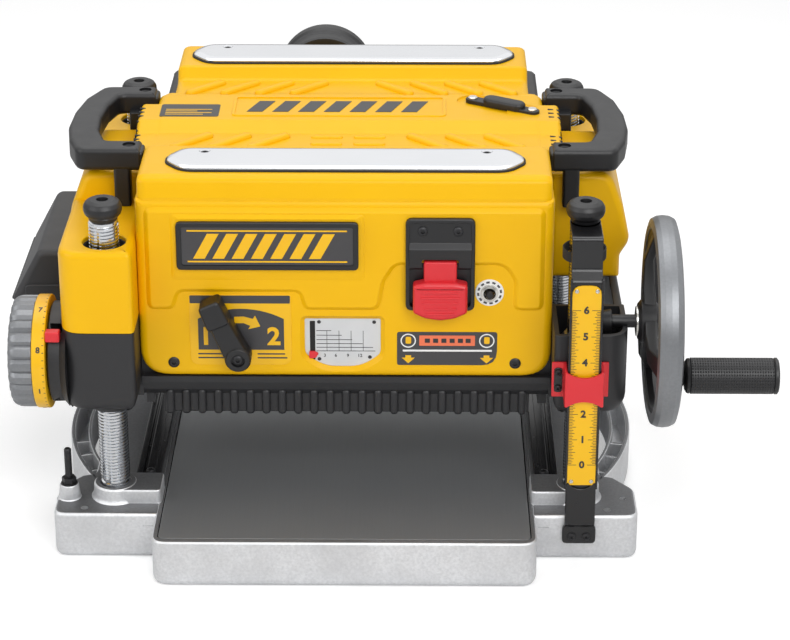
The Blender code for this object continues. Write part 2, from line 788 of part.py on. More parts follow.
def shoulder(sx, grow=0.0, drop=0.0, bottom=SIDE_SEAM):
    """The yellow housing over the posts of one side: two shoulders with a saddle between."""
    block = None
    for sy in (-1, 1):
        piece = corner_block(sx, sy, bottom, SHOULDER_TOP - drop, grow, inner_y=SADDLE_Y - 4 * MM)
        block = join(block, piece) if block else piece
    inner = CHEEK_X + GAP - grow
    outer = FRAME_X + grow
    belly = SIDE_SEAM + 24 * MM
    saddle = [(inner, bottom), (outer, bottom), (outer, belly - drop), (outer + 9 * MM, belly + 12 * MM)]
    saddle += [(outer - 11 * MM, SADDLE_TOP - drop), (inner, SADDLE_TOP - drop)]
    reach = SADDLE_Y + grow
    return join(block, prism("Y", [(sx * u, v) for u, v in saddle], (-reach, reach)))


def make_side_covers():
    for name, sx in (("left", -1), ("right", 1)):
        cover = cut(shoulder(sx), shoulder(sx, -WALL, WALL, SIDE_SEAM - 2 * OVER))
        for sy in (-1, 1):
            opening = (SHOULDER_TOP - 3 * WALL, SHOULDER_TOP + OVER)
            cut(cover, cylinder("Z", (sx * POST_X, sy * POST_Y), POST_OPENING, opening))
        if sx > 0:
            half = SCALE_WIDTH / 2 + 2 * MM
            cut(
                cover,
                box(
                    (POST_X - half, POST_X + half),
                    (-CORNER_Y - OVER, -POST_Y),
                    (POST_TOP - LIFT_UP - 12 * MM, SHOULDER_TOP + OVER),
                ),
                cylinder(
                    "X", (-POST_Y, WHEEL_Z), CRANK_SHAFT + GAP, (FRAME_X - 10 * MM, FRAME_X + OVER), 20
                ),
            )
        else:
            cut(cover, cylinder("X", (MOTOR_Y, MOTOR_Z), 12 * MM, (-FRAME_X - OVER, -CHEEK_X + OVER)))
        part(cover, f"side_cover_{name}", "yellow_housing")


def make_rear_cover():
    half = CHEEK_X - 1 * MM
    front = -FRONT_Y + GAP
    low = COVER_BOTTOM + 3 * MM

    def outline(inset, start):
        return [
            (start, low + inset),
            (REAR_Y - 22 * MM - inset / 2, low + inset),
            (REAR_Y - inset, low + 36 * MM + inset / 2),
            (REAR_Y - inset, TOP_SEAM - 40 * MM),
            (REAR_Y - inset, TOP_SEAM - GAP + (OVER if inset else 0)),
            (start, TOP_SEAM - GAP + (OVER if inset else 0)),
        ]

    cover = prism("X", outline(0, front), (-half, half))
    cut(cover, prism("X", outline(WALL, front - OVER), (-half + WALL, half - WALL)))
    for sx in (-1, 1):
        cut(
            cover,
            box(
                (sx * (REAR_DECK_X - 1 * MM), sx * (half + OVER)),
                (front - OVER, REAR_Y + OVER),
                (SADDLE_TOP, TOP_Z),
            ),
        )
    cut(cover, cylinder("Y", (PORT_X, PORT_Z - 14 * MM), 16 * MM, (REAR_Y - 3 * WALL, REAR_Y + OVER)))
    part(cover, "rear_cover", "black_housing")
    port = turned(
        "Y",
        (PORT_X, PORT_Z),
        [
            (REAR_Y + GAP, PORT_RADIUS - 12 * MM),
            (REAR_Y + GAP, PORT_RADIUS - 6 * MM),
            (REAR_Y + 20 * MM, PORT_RADIUS - 2 * MM),
            (REAR_Y + 24 * MM, PORT_RADIUS),
            (REAR_Y + 34 * MM, PORT_RADIUS),
            (REAR_Y + 34 * MM, PORT_RADIUS - 4 * MM),
            (REAR_Y + 20 * MM, PORT_RADIUS - 6 * MM),
        ],
        32,
        closed=True,
    )
    part(port, "dust_port", "black_housing")


def make_slide_bars():
    for name, middle in (("front", FRONT_BAR_Y), ("rear", REAR_BAR_Y)):
        outline = arc((BAR_LENGTH / 2 - BAR_WIDTH / 2, middle), BAR_WIDTH / 2, -90, 90, 8)
        outline += arc((-BAR_LENGTH / 2 + BAR_WIDTH / 2, middle), BAR_WIDTH / 2, 90, 270, 8)
        bar = prism("Z", outline, (TOP_Z + GAP, TOP_Z + 5 * MM))
        part(bar, f"slide_bar_{name}", "chromed_steel")


HANDLE_TOP = TOP_Z + 1 * MM
HANDLE_DEPTH = 21 * MM


def make_carry_handles():
    """C-shaped grips over the saddles, each with a leg that stands on the shoulder."""
    outer = [
        (
            205 * MM, -79 * MM
        ), (247 * MM, -79 * MM), (256 * MM, -50 * MM), (261 * MM, -15 * MM), (260 * MM, 25 * MM),
        (254 * MM, 62 * MM), (240 * MM, 96 * MM), (205 * MM, 96 * MM),
    ]
    inner = [
        (205 * MM, 73 * MM), (222 * MM, 73 * MM), (230 * MM, 45 * MM), (233 * MM, 10 * MM), (
            231 * MM, -25 * MM
        ),
        (222 * MM, -54 * MM), (205 * MM, -54 * MM),
    ]
    handle = prism("Z", outer + inner, (HANDLE_TOP - HANDLE_DEPTH, HANDLE_TOP))
    for low, high in ((-79, -54), (73, 96)):
        arm = box(
            (CHEEK_X - 2 * MM + GAP, 207 * MM),
            (low * MM, high * MM),
            (HANDLE_TOP - HANDLE_DEPTH, HANDLE_TOP - 1 * MM),
        )
        join(handle, arm)
    leg_x = (199 * MM, 212 * MM)
    for low, high in ((-78, -61), (61, 80)):
        join(
            handle,
            box(leg_x, (low * MM, high * MM), (SHOULDER_TOP + GAP, HANDLE_TOP - HANDLE_DEPTH + OVER)),
        )
    cut(
        handle,
        *[
            cylinder("Z", (196 * MM, y * MM), 4 * MM, (HANDLE_TOP - 7 * MM, HANDLE_TOP + OVER), 12)
            for y in (-66, 84)
        ],
    )
    part(mirrored(handle), "carry_handle_left", "black_housing")
    part(handle, "carry_handle_right", "black_housing")


# ---- controls on the front ------------------------------------------------------------------
def make_front_plates():
    front = FRONT_Y - GAP
    badge = box(
        (-150 * MM, 12.5 * MM),
        (front - 3 * MM, front),
        (CUT_Z + 150 * MM, CUT_Z + 196 * MM),
        3 * MM,
        2,
        "Y",
    )
    part(badge, "badge_plate", "label_plate")
    plate = box(
        (-141 * MM, -49 * MM),
        (front - 1.2 * MM, front),
        (CUT_Z + 52.5 * MM, CUT_Z + 122 * MM),
        3 * MM,
        2,
        "Y",
    )
    cut(plate, cylinder("Y", (LEVER_X, LEVER_Z), 6 * MM + GAP, (front - 2 * OVER, front + OVER), 16))
    part(plate, "speed_plate", "yellow_scale")
    gauge = rounded((-38 * MM, 28 * MM), (GAUGE_Z - 3 * MM, GAUGE_Z + 45 * MM), [8 * MM, 8 * MM, 0, 0])
    part(
        prism("Y", gauge, (FRONT_Y + WALL + GAP, FRONT_Y + WALL + 1.8 * MM)),
        "gauge_plate",
        "silver_plastic",
    )
    pointer = box(
        (-31 * MM, -26 * MM), (FRONT_Y + 1 * MM, FRONT_Y + WALL), (GAUGE_Z + 2.5 * MM, GAUGE_Z + 8 * MM)
    )
    part(pointer, "gauge_pointer", "red_plastic")


def make_speed_lever():
    hub_front, hub_back = FRONT_Y - 20 * MM, FRONT_Y - 2 * MM
    lever = cylinder("Y", (LEVER_X, LEVER_Z), 12 * MM, (hub_front, hub_back), 20)
    tilt = math.radians(25)
    arm = [
        (-9 * MM, 0),
        (9 * MM, 0),
        (8 * MM, 40 * MM),
        (7 * MM, 62 * MM),
        (-7 * MM, 62 * MM),
        (-9 * MM, 40 * MM),
    ]
    turn = [
        (
            LEVER_X + u * math.cos(tilt) - v * math.sin(tilt),
            LEVER_Z + u * math.sin(tilt) + v * math.cos(tilt),
        )
        for u, v in arm
    ]
    join(lever, prism("Y", turn, (hub_front - 3 * MM, hub_back - 4 * MM)))
    join(lever, cylinder("Y", (LEVER_X, LEVER_Z), 6 * MM, (hub_back - OVER, FRONT_Y + 24 * MM), 16))
    part(lever, "speed_lever", "black_housing", (LEVER_X, FRONT_Y, LEVER_Z))


def make_switch():
    front = FRONT_Y - GAP
    half = 31 * MM
    low, high = SWITCH_TOP - 89 * MM, SWITCH_TOP
    housing = box((SWITCH_X - half, SWITCH_X + half), (front - 7 * MM, front), (low, high), 3 * MM, 2, "Y")
    body = box(
        (SWITCH_X - 22 * MM, SWITCH_X + 22 * MM),
        (front - 2 * MM, front + 24 * MM),
        (low + 8 * MM, high - 8 * MM),
    )
    join(housing, body)
    well = box(
        (SWITCH_X - half + 6 * MM, SWITCH_X + half - 6 * MM),
        (front - 10 * MM, front - 3 * MM),
        (low - OVER, low + 52 * MM),
    )
    cut(housing, well)
    part(housing, "switch_housing", "black_housing")
    half = 24.5 * MM
    paddle = box(
        (SWITCH_X - half, SWITCH_X + half),
        (front - 19 * MM, front - 5.5 * MM),
        (low - 6 * MM, low + 28 * MM),
        3 * MM,
    )
    join(
        paddle,
        box(
            (SWITCH_X - 16 * MM, SWITCH_X + 16 * MM),
            (front - 11 * MM, front - 3.5 * MM),
            (low + 24 * MM, low + 50 * MM),
        ),
    )
    part(paddle, "switch_paddle", "red_plastic", (SWITCH_X, front - 5 * MM, low + 49 * MM))


def make_reset():
    collar = turned(
        "Y",
        (RESET_X, RESET_Z),
        [
            (FRONT_Y - GAP, 4.2 * MM),
            (FRONT_Y - GAP, 13 * MM),
            (FRONT_Y - 1.3 * MM, 13 * MM),
            (FRONT_Y - 1.3 * MM, 6.5 * MM),
            (FRONT_Y - 5 * MM, 6.5 * MM),
            (FRONT_Y - 5 * MM, 4.2 * MM),
        ],
        20,
        closed=True,
    )
    part(collar, "reset_collar", "chromed_steel")
    button = cylinder("Y", (RESET_X, RESET_Z), 3.8 * MM, (FRONT_Y - 8 * MM, FRONT_Y + 12 * MM), 16)
    part(button, "reset_button", "black_housing", (RESET_X, FRONT_Y, RESET_Z))


def make_scale_pointer():
    """The red clip that wraps round the scale and reads the board's thickness."""
    half = SCALE_WIDTH / 2 + 1.2 * MM
    wall = 2.5 * MM
    back = -(CORNER_Y + GAP)
    front = SCALE_FRONT - 1.5 * MM - 2 * MM
    z = (CUT_Z + 41 * MM, CUT_Z + 75 * MM)
    inner = (POST_X - half, POST_X + half)
    profile = [
        (inner[0] - 13 * MM, back),
        (inner[0], back),
        (inner[0], front),
        (inner[1], front),
        (inner[1], back),
        (inner[1] + 8 * MM, back),
        (inner[1] + 8 * MM, back - wall),
        (inner[1] + wall, back - wall),
        (inner[1] + wall, front - wall),
        (inner[0] - wall, front - wall),
        (inner[0] - wall, back - wall),
        (inner[0] - 13 * MM, back - wall),
    ]
    part(prism("Z", profile, z), "scale_pointer", "red_plastic")


def make_turret():
    """The stop turret at the left: a ribbed knob, its numbered ring, and the shaft behind them."""
    ring_right = -FRAME_X - 14 * MM - GAP
    ring_left = ring_right - 12 * MM
    knob_left = ring_left - GAP - 22 * MM
    knob = turned(
        "X",
        (TURRET_Y, TURRET_Z),
        [
            (knob_left, 0),
            (knob_left, TURRET_RADIUS - 8 * MM),
            (knob_left + 6 * MM, TURRET_RADIUS - 1 * MM),
            (ring_left - GAP, TURRET_RADIUS),
            (ring_left - GAP, SHAFT_RADIUS),
            (-FRAME_X + 20 * MM, SHAFT_RADIUS),
            (-FRAME_X + 20 * MM, 0),
        ],
        36,
    )
    part(knob, "stop_turret_knob", "silver_plastic", (ring_left, TURRET_Y, TURRET_Z))
    ring = turned(
        "X",
        (TURRET_Y, TURRET_Z),
        [
            (ring_left, SHAFT_RADIUS + GAP),
            (ring_left, TURRET_RADIUS + 1 * MM),
            (ring_right, TURRET_RADIUS + 1 * MM),
            (ring_right, SHAFT_RADIUS + GAP),
        ],
        36,
        closed=True,
    )
    part(ring, "stop_turret_ring", "yellow_scale", (ring_left, TURRET_Y, TURRET_Z))


def make_hand_wheel():
    """The lift wheel with its shaft and pinion, and the free-turning grip."""
    centre = (-POST_Y, WHEEL_Z)
    rim = WHEEL_RADIUS - RIM_RADIUS
    profile = [
        (WHEEL_X + RIM_RADIUS * math.cos(math.radians(a)), rim + RIM_RADIUS * math.sin(math.radians(a)))
        for a in range(0, 360, 45)
    ]
    wheel = turned("X", centre, profile, 36, closed=True)
    hub = turned(
        "X",
        centre,
        [
            (POST_X + 14.5 * MM, 0),
            (POST_X + 14.5 * MM, 9 * MM),
            (POST_X + 26 * MM, 11 * MM),
            (POST_X + 26 * MM, CRANK_SHAFT),
            (FRAME_X + 9 * MM, CRANK_SHAFT),
            (FRAME_X + 9 * MM, 17 * MM),
            (WHEEL_X - 6 * MM, 14 * MM),
            (WHEEL_X - 6 * MM, 0),
        ],
        24,
    )
    join(wheel, hub)
    for angle in (70, 190, 310):
        way = Vector((math.cos(math.radians(angle)), math.sin(math.radians(angle))))
        side = Vector((-way.y, way.x)) * 8 * MM
        start, end = Vector(centre) + way * 8 * MM, Vector(centre) + way * rim
        spoke = [tuple(start - side), tuple(end - side), tuple(end + side), tuple(start + side)]
        join(wheel, prism("X", spoke, (WHEEL_X - 15 * MM, WHEEL_X - 7 * MM)))
    grip_centre = (GRIP_Y, GRIP_Z)
    grip_end = WHEEL_X + 15 * MM + GRIP_LENGTH
    away = Vector((GRIP_Y, GRIP_Z)) - Vector(centre)
    boss_way = away.normalized()
    boss_side = Vector((-boss_way.y, boss_way.x)) * 13 * MM
    start, end = Vector(grip_centre) - boss_way * 12 * MM, Vector(centre) + boss_way * rim
    web = [
        tuple(start - boss_side), tuple(end - boss_side), tuple(end + boss_side), tuple(start + boss_side)
    ]
    join(
        wheel,
        prism("X", web, (WHEEL_X - 6 * MM, WHEEL_X + 6 * MM)),
        cylinder("X", grip_centre, 9 * MM, (WHEEL_X - 5 * MM, WHEEL_X + 14 * MM), 20),
        cylinder("X", grip_centre, 4 * MM, (WHEEL_X + 10 * MM, grip_end - 4 * MM), 16),
    )
    part(wheel, "hand_wheel", "silver_plastic", (WHEEL_X, *centre))
    grip = turned(
        "X",
        grip_centre,
        [
            (WHEEL_X + 15 * MM, 4 * MM + GAP),
            (WHEEL_X + 15 * MM, GRIP_RADIUS - 1 * MM),
            (WHEEL_X + 18 * MM, GRIP_RADIUS),
            (grip_end - 4 * MM, GRIP_RADIUS),
            (grip_end, GRIP_RADIUS - 3 * MM),
            (grip_end, 4 * MM + GAP),
        ],
        24,
        closed=True,
    )
    part(grip, "crank_grip", "black_housing", (WHEEL_X + 15 * MM, *grip_centre))


# ---- inside the head ------------------------------------------------------------------------
def make_cutter():
    centre = (0, CUTTER_Z)
    profile = [
        (PULLEY_X, 0),
        (PULLEY_X, CUTTER_PULLEY),
        (PULLEY_X + PULLEY_WIDTH, CUTTER_PULLEY),
        (PULLEY_X + PULLEY_WIDTH, SHAFT_RADIUS),
        (-DRUM_HALF, SHAFT_RADIUS),
        (-DRUM_HALF, CUTTER_RADIUS),
        (DRUM_HALF, CUTTER_RADIUS),
        (DRUM_HALF, SHAFT_RADIUS),
        (PLATE_X + SIDE_PLATE + 4 * MM, SHAFT_RADIUS),
        (PLATE_X + SIDE_PLATE + 4 * MM, 0),
    ]
    drum = turned("X", centre, profile, 24)
    reach = CUTTER_RADIUS + KNIFE_STANDOUT
    for number, angle in enumerate((90, 210, 330), 1):
        a = math.radians(angle)
        way, side = Vector((math.cos(a), math.sin(a))), Vector((-math.sin(a), math.cos(a)))

        def slab(depth, height, half):
            corners = ((depth, -half), (height, -half), (height, half), (depth, half))
            return [tuple(Vector(centre) + way * d + side * s) for d, s in corners]

        cut(
            drum,
            prism(
                "X", slab(13 * MM, reach + OVER, 1.5 * MM + GAP), (-DRUM_HALF + 3 * MM, DRUM_HALF - 3 * MM)
            ),
        )
        knife = prism("X", slab(13 * MM + GAP, reach, 1.5 * MM), (-DRUM_HALF + 4 * MM, DRUM_HALF - 4 * MM))
        part(knife, f"knife_{number}", "tool_steel", (0, *centre))
    part(drum, "cutterhead", "tool_steel", (0, *centre))


def make_rollers():
    for name, way in (("infeed_roller", -1), ("outfeed_roller", 1)):
        end = PLATE_X + SIDE_PLATE - 1 * MM
        profile = [
            (-end, 0),
            (-end, 7 * MM),
            (-DRUM_HALF, 7 * MM),
            (-DRUM_HALF, ROLLER_RADIUS),
            (DRUM_HALF, ROLLER_RADIUS),
            (DRUM_HALF, 7 * MM),
            (end, 7 * MM),
            (end, 0),
        ]
        axle = (way * ROLLER_Y, ROLLER_Z)
        part(turned("X", axle, profile, 20), name, "rubber_belt", (0, *axle))


def make_side_plates():
    """The inner plates that carry the cutterhead, the rollers and the motor."""
    for name, sx in (("left", -1), ("right", 1)):
        x = (sx * PLATE_X, sx * (PLATE_X + SIDE_PLATE))
        reach = -FRONT_Y - 12 * MM - GAP
        front = FRONT_Y + 32 * MM + GAP
        low, seam, top = CUT_Z + 8 * MM, COVER_BOTTOM - 2 * GAP, MOTOR_Z + 52 * MM
        outline = [(-reach, low), (reach, low), (reach, top), (front, top), (front, seam), (-reach, seam)]
        plate = prism("X", outline, x)
        bores = [
            cylinder("X", (0, CUTTER_Z), SHAFT_RADIUS + GAP, (x[0] - sx * OVER, x[1] + sx * OVER), 20),
            cylinder("X", (-ROLLER_Y, ROLLER_Z), 7 * MM + GAP, (x[0] - sx * OVER, x[1] + sx * OVER), 16),
            cylinder("X", (ROLLER_Y, ROLLER_Z), 7 * MM + GAP, (x[0] - sx * OVER, x[1] + sx * OVER), 16),
        ]
        if sx < 0:
            bores.append(cylinder("X", (MOTOR_Y, MOTOR_Z), SHAFT_RADIUS, (x[0] + OVER, x[1] - OVER), 16))
        cut(plate, *bores)
        part(plate, f"side_plate_{name}", "cast_aluminium")


def make_motor():
    centre = (MOTOR_Y, MOTOR_Z)
    inner = MOTOR_RADIUS - 5 * MM
    left, right = -PLATE_X + GAP, 40 * MM
    shell = turned(
        "X",
        centre,
        [
            (left, SHAFT_RADIUS),
            (left, MOTOR_RADIUS + 6 * MM),
            (left + 8 * MM, MOTOR_RADIUS + 6 * MM),
            (left + 14 * MM, MOTOR_RADIUS),
            (right, MOTOR_RADIUS),
            (right, inner),
            (left + 20 * MM, inner),
            (left + 20 * MM, SHAFT_RADIUS),
        ],
        28,
        closed=True,
    )
    part(shell, "motor_housing", "black_housing")
    rotor = turned(
        "X",
        centre,
        [
            (PULLEY_X, 0),
            (PULLEY_X, MOTOR_PULLEY),
            (PULLEY_X + PULLEY_WIDTH, MOTOR_PULLEY),
            (PULLEY_X + PULLEY_WIDTH, 6 * MM),
            (-120 * MM, 6 * MM),
            (-120 * MM, inner - 6 * MM),
            (0, inner - 6 * MM),
            (0, 6 * MM),
            (92 * MM, 6 * MM),
            (92 * MM, 0),
        ],
        20,
    )
    part(rotor, "motor_rotor", "tool_steel", (0, *centre))
    fan_x = (48 * MM, 78 * MM)
    fan = turned(
        "X",
        centre,
        [(fan_x[0], 6 * MM + GAP), (fan_x[0], 48 * MM), (fan_x[0] + 3 * MM, 48 * MM), (fan_x[0] + 3 * MM, 12 * MM),
         (fan_x[1], 12 * MM), (fan_x[1], 6 * MM + GAP)],
        24,
        closed=True,
    )
    for blade in range(8):
        angle = math.radians(45 * blade + 10)
        way, side = Vector((math.cos(angle), math.sin(angle))), Vector((-math.sin(angle), math.cos(angle)))
        corners = [
            Vector(centre) + (way * far + side * half) * MM
            for far, half in ((11, -1), (46, -1), (46, 1), (11, 1))
        ]
        join(fan, prism("X", [tuple(c) for c in corners], (fan_x[0] + 2 * MM, fan_x[1] - 4 * MM)))
    part(fan, "chip_fan", "black_housing", (fan_x[0], *centre))


def make_belt_drive():
    cutter, motor = (0, CUTTER_Z), (MOTOR_Y, MOTOR_Z)
    clear = 0.8 * MM
    outer = belt_outline(
        cutter, CUTTER_PULLEY + clear + BELT_THICKNESS, motor, MOTOR_PULLEY + clear + BELT_THICKNESS
    )
    inner = belt_outline(cutter, CUTTER_PULLEY + clear, motor, MOTOR_PULLEY + clear)
    belt = prism("X", outer, (PULLEY_X + 2 * MM, PULLEY_X + PULLEY_WIDTH - 2 * MM), [inner])
    part(belt, "drive_belt", "rubber_belt")
    right = -FRAME_X - GAP
    low = CUTTER_Z - CUTTER_PULLEY - 2 * WALL
    high = MOTOR_Z + 20 * MM
    y = (-46 * MM, MOTOR_Y + 40 * MM)

    def outline(inset):
        left = -BELT_HOUSE_X + inset
        return [
            (left, low + 16 * MM),
            (left + 10 * MM, low + inset),
            (right + (OVER if inset else 0), low + inset),
            (right + (OVER if inset else 0), high - inset),
            (left + 26 * MM, high - inset),
            (left, high - 48 * MM - inset / 2),
        ]

    house = prism("Y", outline(0), y)
    cut(house, prism("Y", outline(WALL), (y[0] + WALL, y[1] - WALL)))
    part(house, "gearbox_cover", "black_housing")


def make_knife_wrench():
    """The gib wrench, held by its magnets in a recess of the top cover."""
    seat = TOP_Z - 4 * MM + GAP
    start, end = Vector((114 * MM, 72 * MM)), Vector((178 * MM, 34 * MM))
    way = (end - start).normalized()
    side = Vector((-way.y, way.x))
    length = (end - start).length

    def slab(low, high, half):
        return [
            tuple(start + way * d + side * s)
            for d, s in ((low, -half), (high, -half), (high, half), (low, half))
        ]

    wrench = prism("Z", slab(0, length, 6 * MM), (seat, seat + 2.5 * MM))
    join(wrench, prism("Z", slab(18 * MM, length - 18 * MM, 7 * MM), (seat, seat + 8 * MM)))
    part(wrench, "knife_wrench", "black_steel")


def build():
    make_base()
    make_side_rails()
    make_lift()
    make_scale()
    make_stop_bolt()
    make_frame()
    make_front_cover()
    make_top_cover()
    make_side_covers()
    make_rear_cover()
    make_slide_bars()
    make_carry_handles()
    make_front_plates()
    make_speed_lever()
    make_switch()
    make_reset()
    make_scale_pointer()
    make_turret()
    make_hand_wheel()
    make_cutter()
    make_rollers()
    make_side_plates()
    make_motor()
    make_belt_drive()
    make_knife_wrench()


build()
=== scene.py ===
"""Looks of the thickness planer: moulded, cast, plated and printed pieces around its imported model.

Shapes are drawn in millimetres, in the model's own frame, and solid() turns them to metres.
"""

import json
import math

import bmesh
import bpy
from mathutils import Matrix, Vector

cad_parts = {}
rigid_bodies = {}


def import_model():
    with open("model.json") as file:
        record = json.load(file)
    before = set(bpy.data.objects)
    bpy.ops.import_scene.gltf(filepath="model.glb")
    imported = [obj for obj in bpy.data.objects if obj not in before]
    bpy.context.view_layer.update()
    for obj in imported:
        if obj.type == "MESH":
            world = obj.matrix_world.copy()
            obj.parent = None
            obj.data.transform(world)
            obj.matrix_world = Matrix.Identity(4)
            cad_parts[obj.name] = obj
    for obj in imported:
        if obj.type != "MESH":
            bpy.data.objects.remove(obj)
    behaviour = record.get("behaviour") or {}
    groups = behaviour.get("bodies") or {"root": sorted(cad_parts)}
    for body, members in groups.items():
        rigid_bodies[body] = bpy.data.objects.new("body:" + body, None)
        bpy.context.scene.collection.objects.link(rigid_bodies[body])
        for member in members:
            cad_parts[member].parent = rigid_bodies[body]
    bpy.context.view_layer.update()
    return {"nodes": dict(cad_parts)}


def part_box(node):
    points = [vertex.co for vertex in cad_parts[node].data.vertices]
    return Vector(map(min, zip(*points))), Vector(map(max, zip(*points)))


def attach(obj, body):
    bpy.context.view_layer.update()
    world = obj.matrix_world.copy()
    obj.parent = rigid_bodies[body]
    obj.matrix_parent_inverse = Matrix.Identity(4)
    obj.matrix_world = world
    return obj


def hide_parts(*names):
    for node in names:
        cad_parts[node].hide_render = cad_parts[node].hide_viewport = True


MM = 0.001

for left_over in list(bpy.data.objects):
    bpy.data.objects.remove(left_over)
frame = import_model()


# ---- camera, lamps, floor --------------------------------------------------------------------
def linear(code):
    """An sRGB hex colour as linear red, green, blue and alpha."""
    shares = [int(code[start : start + 2], 16) / 255 for start in (1, 3, 5)]
    return (*[s / 12.92 if s <= 0.04045 else ((s + 0.055) / 1.055) ** 2.4 for s in shares], 1)


def node(tree, kind, settings=None, links=None):
    """Adds a node. Settings go to its sockets or its properties, links give each socket its source."""
    made = tree.nodes.new(kind)
    for name, value in (settings or {}).items():
        if isinstance(name, int) or name in made.inputs:
            made.inputs[name].default_value = value
        else:
            setattr(made, name, value)
    for name, source in (links or {}).items():
        tree.links.new(source, made.inputs[name])
    return made


def set_camera():
    """A long lens in front of the machine, a little above it and tilted down."""
    data = bpy.data.cameras.new("camera")
    data.lens = 114.7
    data.sensor_width = 36
    data.shift_y = -0.08
    data.clip_end = 60
    camera = bpy.data.objects.new("camera", data)
    camera.location = (0.0634, -2.2215, 1.1637)
    camera.rotation_euler = (math.radians(66.94), 0, math.radians(0.51))
    bpy.context.scene.collection.objects.link(camera)
    bpy.context.scene.camera = camera


def lamp(name, place, aim, size, watts):
    """A soft rectangular lamp that faces a point."""
    data = bpy.data.lights.new(name, "AREA")
    data.shape = "RECTANGLE"
    data.size, data.size_y = size
    data.energy = watts
    made = bpy.data.objects.new(name, data)
    made.location = place
    made.rotation_euler = (Vector(aim) - Vector(place)).to_track_quat("-Z", "Y").to_euler()
    bpy.context.scene.collection.objects.link(made)


def set_world():
    """White to the eye, even as fill light, and in gloss a studio bright overhead and dim low down."""
    world = bpy.data.worlds.new("studio")
    world.use_nodes = True
    bpy.context.scene.world = world
    tree = world.node_tree
    tree.nodes.clear()
    path = node(tree, "ShaderNodeLightPath")
    way = node(tree, "ShaderNodeTexCoord").outputs["Generated"]
    height = node(tree, "ShaderNodeSeparateXYZ", links={"Vector": way}).outputs["Z"]
    room = node(
        tree, "ShaderNodeMapRange", {"From Min": -0.02, "From Max": 0.36, "To Min": 0.18, "To Max": 1.15},
        {"Value": height},
    )
    fill = node(tree, "ShaderNodeMix", {2: 0.42}, {0: path.outputs["Is Glossy Ray"], 3: room.outputs[0]})
    seen = node(tree, "ShaderNodeMath", {"operation": "MAXIMUM"}, {0: path.outputs["Is Camera Ray"]})
    tree.links.new(path.outputs["Is Transmission Ray"], seen.inputs[1])
    strength = node(tree, "ShaderNodeMix", {3: 1.0}, {0: seen.outputs[0], 2: fill.outputs[0]})
    sky = node(tree, "ShaderNodeBackground", {"Color": (1, 1, 1, 1)}, {"Strength": strength.outputs[0]})
    node(tree, "ShaderNodeOutputWorld", links={"Surface": sky.outputs[0]})


def set_floor():
    """A white floor that keeps the machine's soft shadow."""
    half = 14.0
    mesh = bpy.data.meshes.new("floor")
    mesh.from_pydata(
        [(-half, -half, 0), (half, -half, 0), (half, half, 0), (-half, half, 0)], [], [(0, 1, 2, 3)]
    )
    floor = bpy.data.objects.new("floor", mesh)
    floor.location.z = -0.2 * MM
    bpy.context.scene.collection.objects.link(floor)
    paper = bpy.data.materials.new("white_paper")
    paper.use_nodes = True
    tree = paper.node_tree
    tree.nodes.clear()
    path = node(tree, "ShaderNodeLightPath")
    sheet = node(tree, "ShaderNodeBsdfDiffuse", {"Color": linear("#EFEFEF")})
    lift = node(
        tree, "ShaderNodeMapRange", {"To Min": 0.0, "To Max": 0.35},
        {"Value": path.outputs["Is Camera Ray"]},
    )
    glow = node(tree, "ShaderNodeEmission", {"Color": (1, 1, 1, 1)}, {"Strength": lift.outputs[0]})
    both = node(tree, "ShaderNodeAddShader", links={0: sheet.outputs[0], 1: glow.outputs[0]})
    node(tree, "ShaderNodeOutputMaterial", links={"Surface": both.outputs[0]})
    mesh.materials.append(paper)


set_camera()
lamp("key_softbox", (0.7, -2.0, 1.7), (0, -0.1, 0.2), (1.6, 1.2), 30)
lamp("fill_softbox", (-1.8, -1.2, 1.2), (0, 0, 0.2), (1.4, 1.4), 12)
lamp("top_softbox", (0.0, 0.5, 2.2), (0, 0, 0.3), (2.2, 1.6), 20)
set_world()
set_floor()
view = bpy.context.scene.view_settings
view.view_transform = "Standard"


# ---- materials -------------------------------------------------------------------------------
def per(size):
    """How many repeats of a pattern of this many millimetres there are in a metre."""
    return 1 / (size * MM)


def blank(name):
    """A new material with its tree, its shader and its place coordinates."""
    made = bpy.data.materials.new(name)
    made.use_nodes = True
    tree = made.node_tree
    shader = tree.nodes["Principled BSDF"]
    place = node(tree, "ShaderNodeTexCoord").outputs["Object"]
    return made, tree, shader, place


def dress(tree, shader, tint, gloss, relief):
    """Feeds a shader the colour, the roughness and the relief of a finish."""
    tree.links.new(tint.outputs[2], shader.inputs["Base Color"])
    tree.links.new(gloss.outputs[0], shader.inputs["Roughness"])
    tree.links.new(relief.outputs[0], shader.inputs["Normal"])


def moulded_plastic(name, colour, shade, rough, grain=0.9, depth=0.05, ior=1.50):
    """Injection-moulded plastic: the mould's spark-eroded skin breaks up the gloss, flow drifts the colour.

    The real skin has pits of about 0.2 mm. They are drawn coarser, so that they show.
    """
    made, tree, shader, place = blank(name)
    flow = node(tree, "ShaderNodeTexNoise", {"Scale": per(70), "Detail": 2.0}, {"Vector": place})
    pores = node(tree, "ShaderNodeTexNoise", {"Scale": per(grain), "Detail": 3.0}, {"Vector": place})
    handled = node(tree, "ShaderNodeTexNoise", {"Scale": per(14), "Detail": 4.0}, {"Vector": place})
    tint = node(
        tree, "ShaderNodeMix", {"data_type": "RGBA", 6: linear(colour), 7: linear(shade)},
        {0: flow.outputs[0]},
    )
    gloss = node(
        tree, "ShaderNodeMapRange", {"To Min": rough - 0.05, "To Max": rough + 0.07},
        {"Value": handled.outputs[0]},
    )
    relief = node(
        tree, "ShaderNodeBump", {"Strength": 0.35, "Distance": depth * MM}, {"Height": pores.outputs[0]}
    )
    dress(tree, shader, tint, gloss, relief)
    shader.inputs["IOR"].default_value = ior
    return made


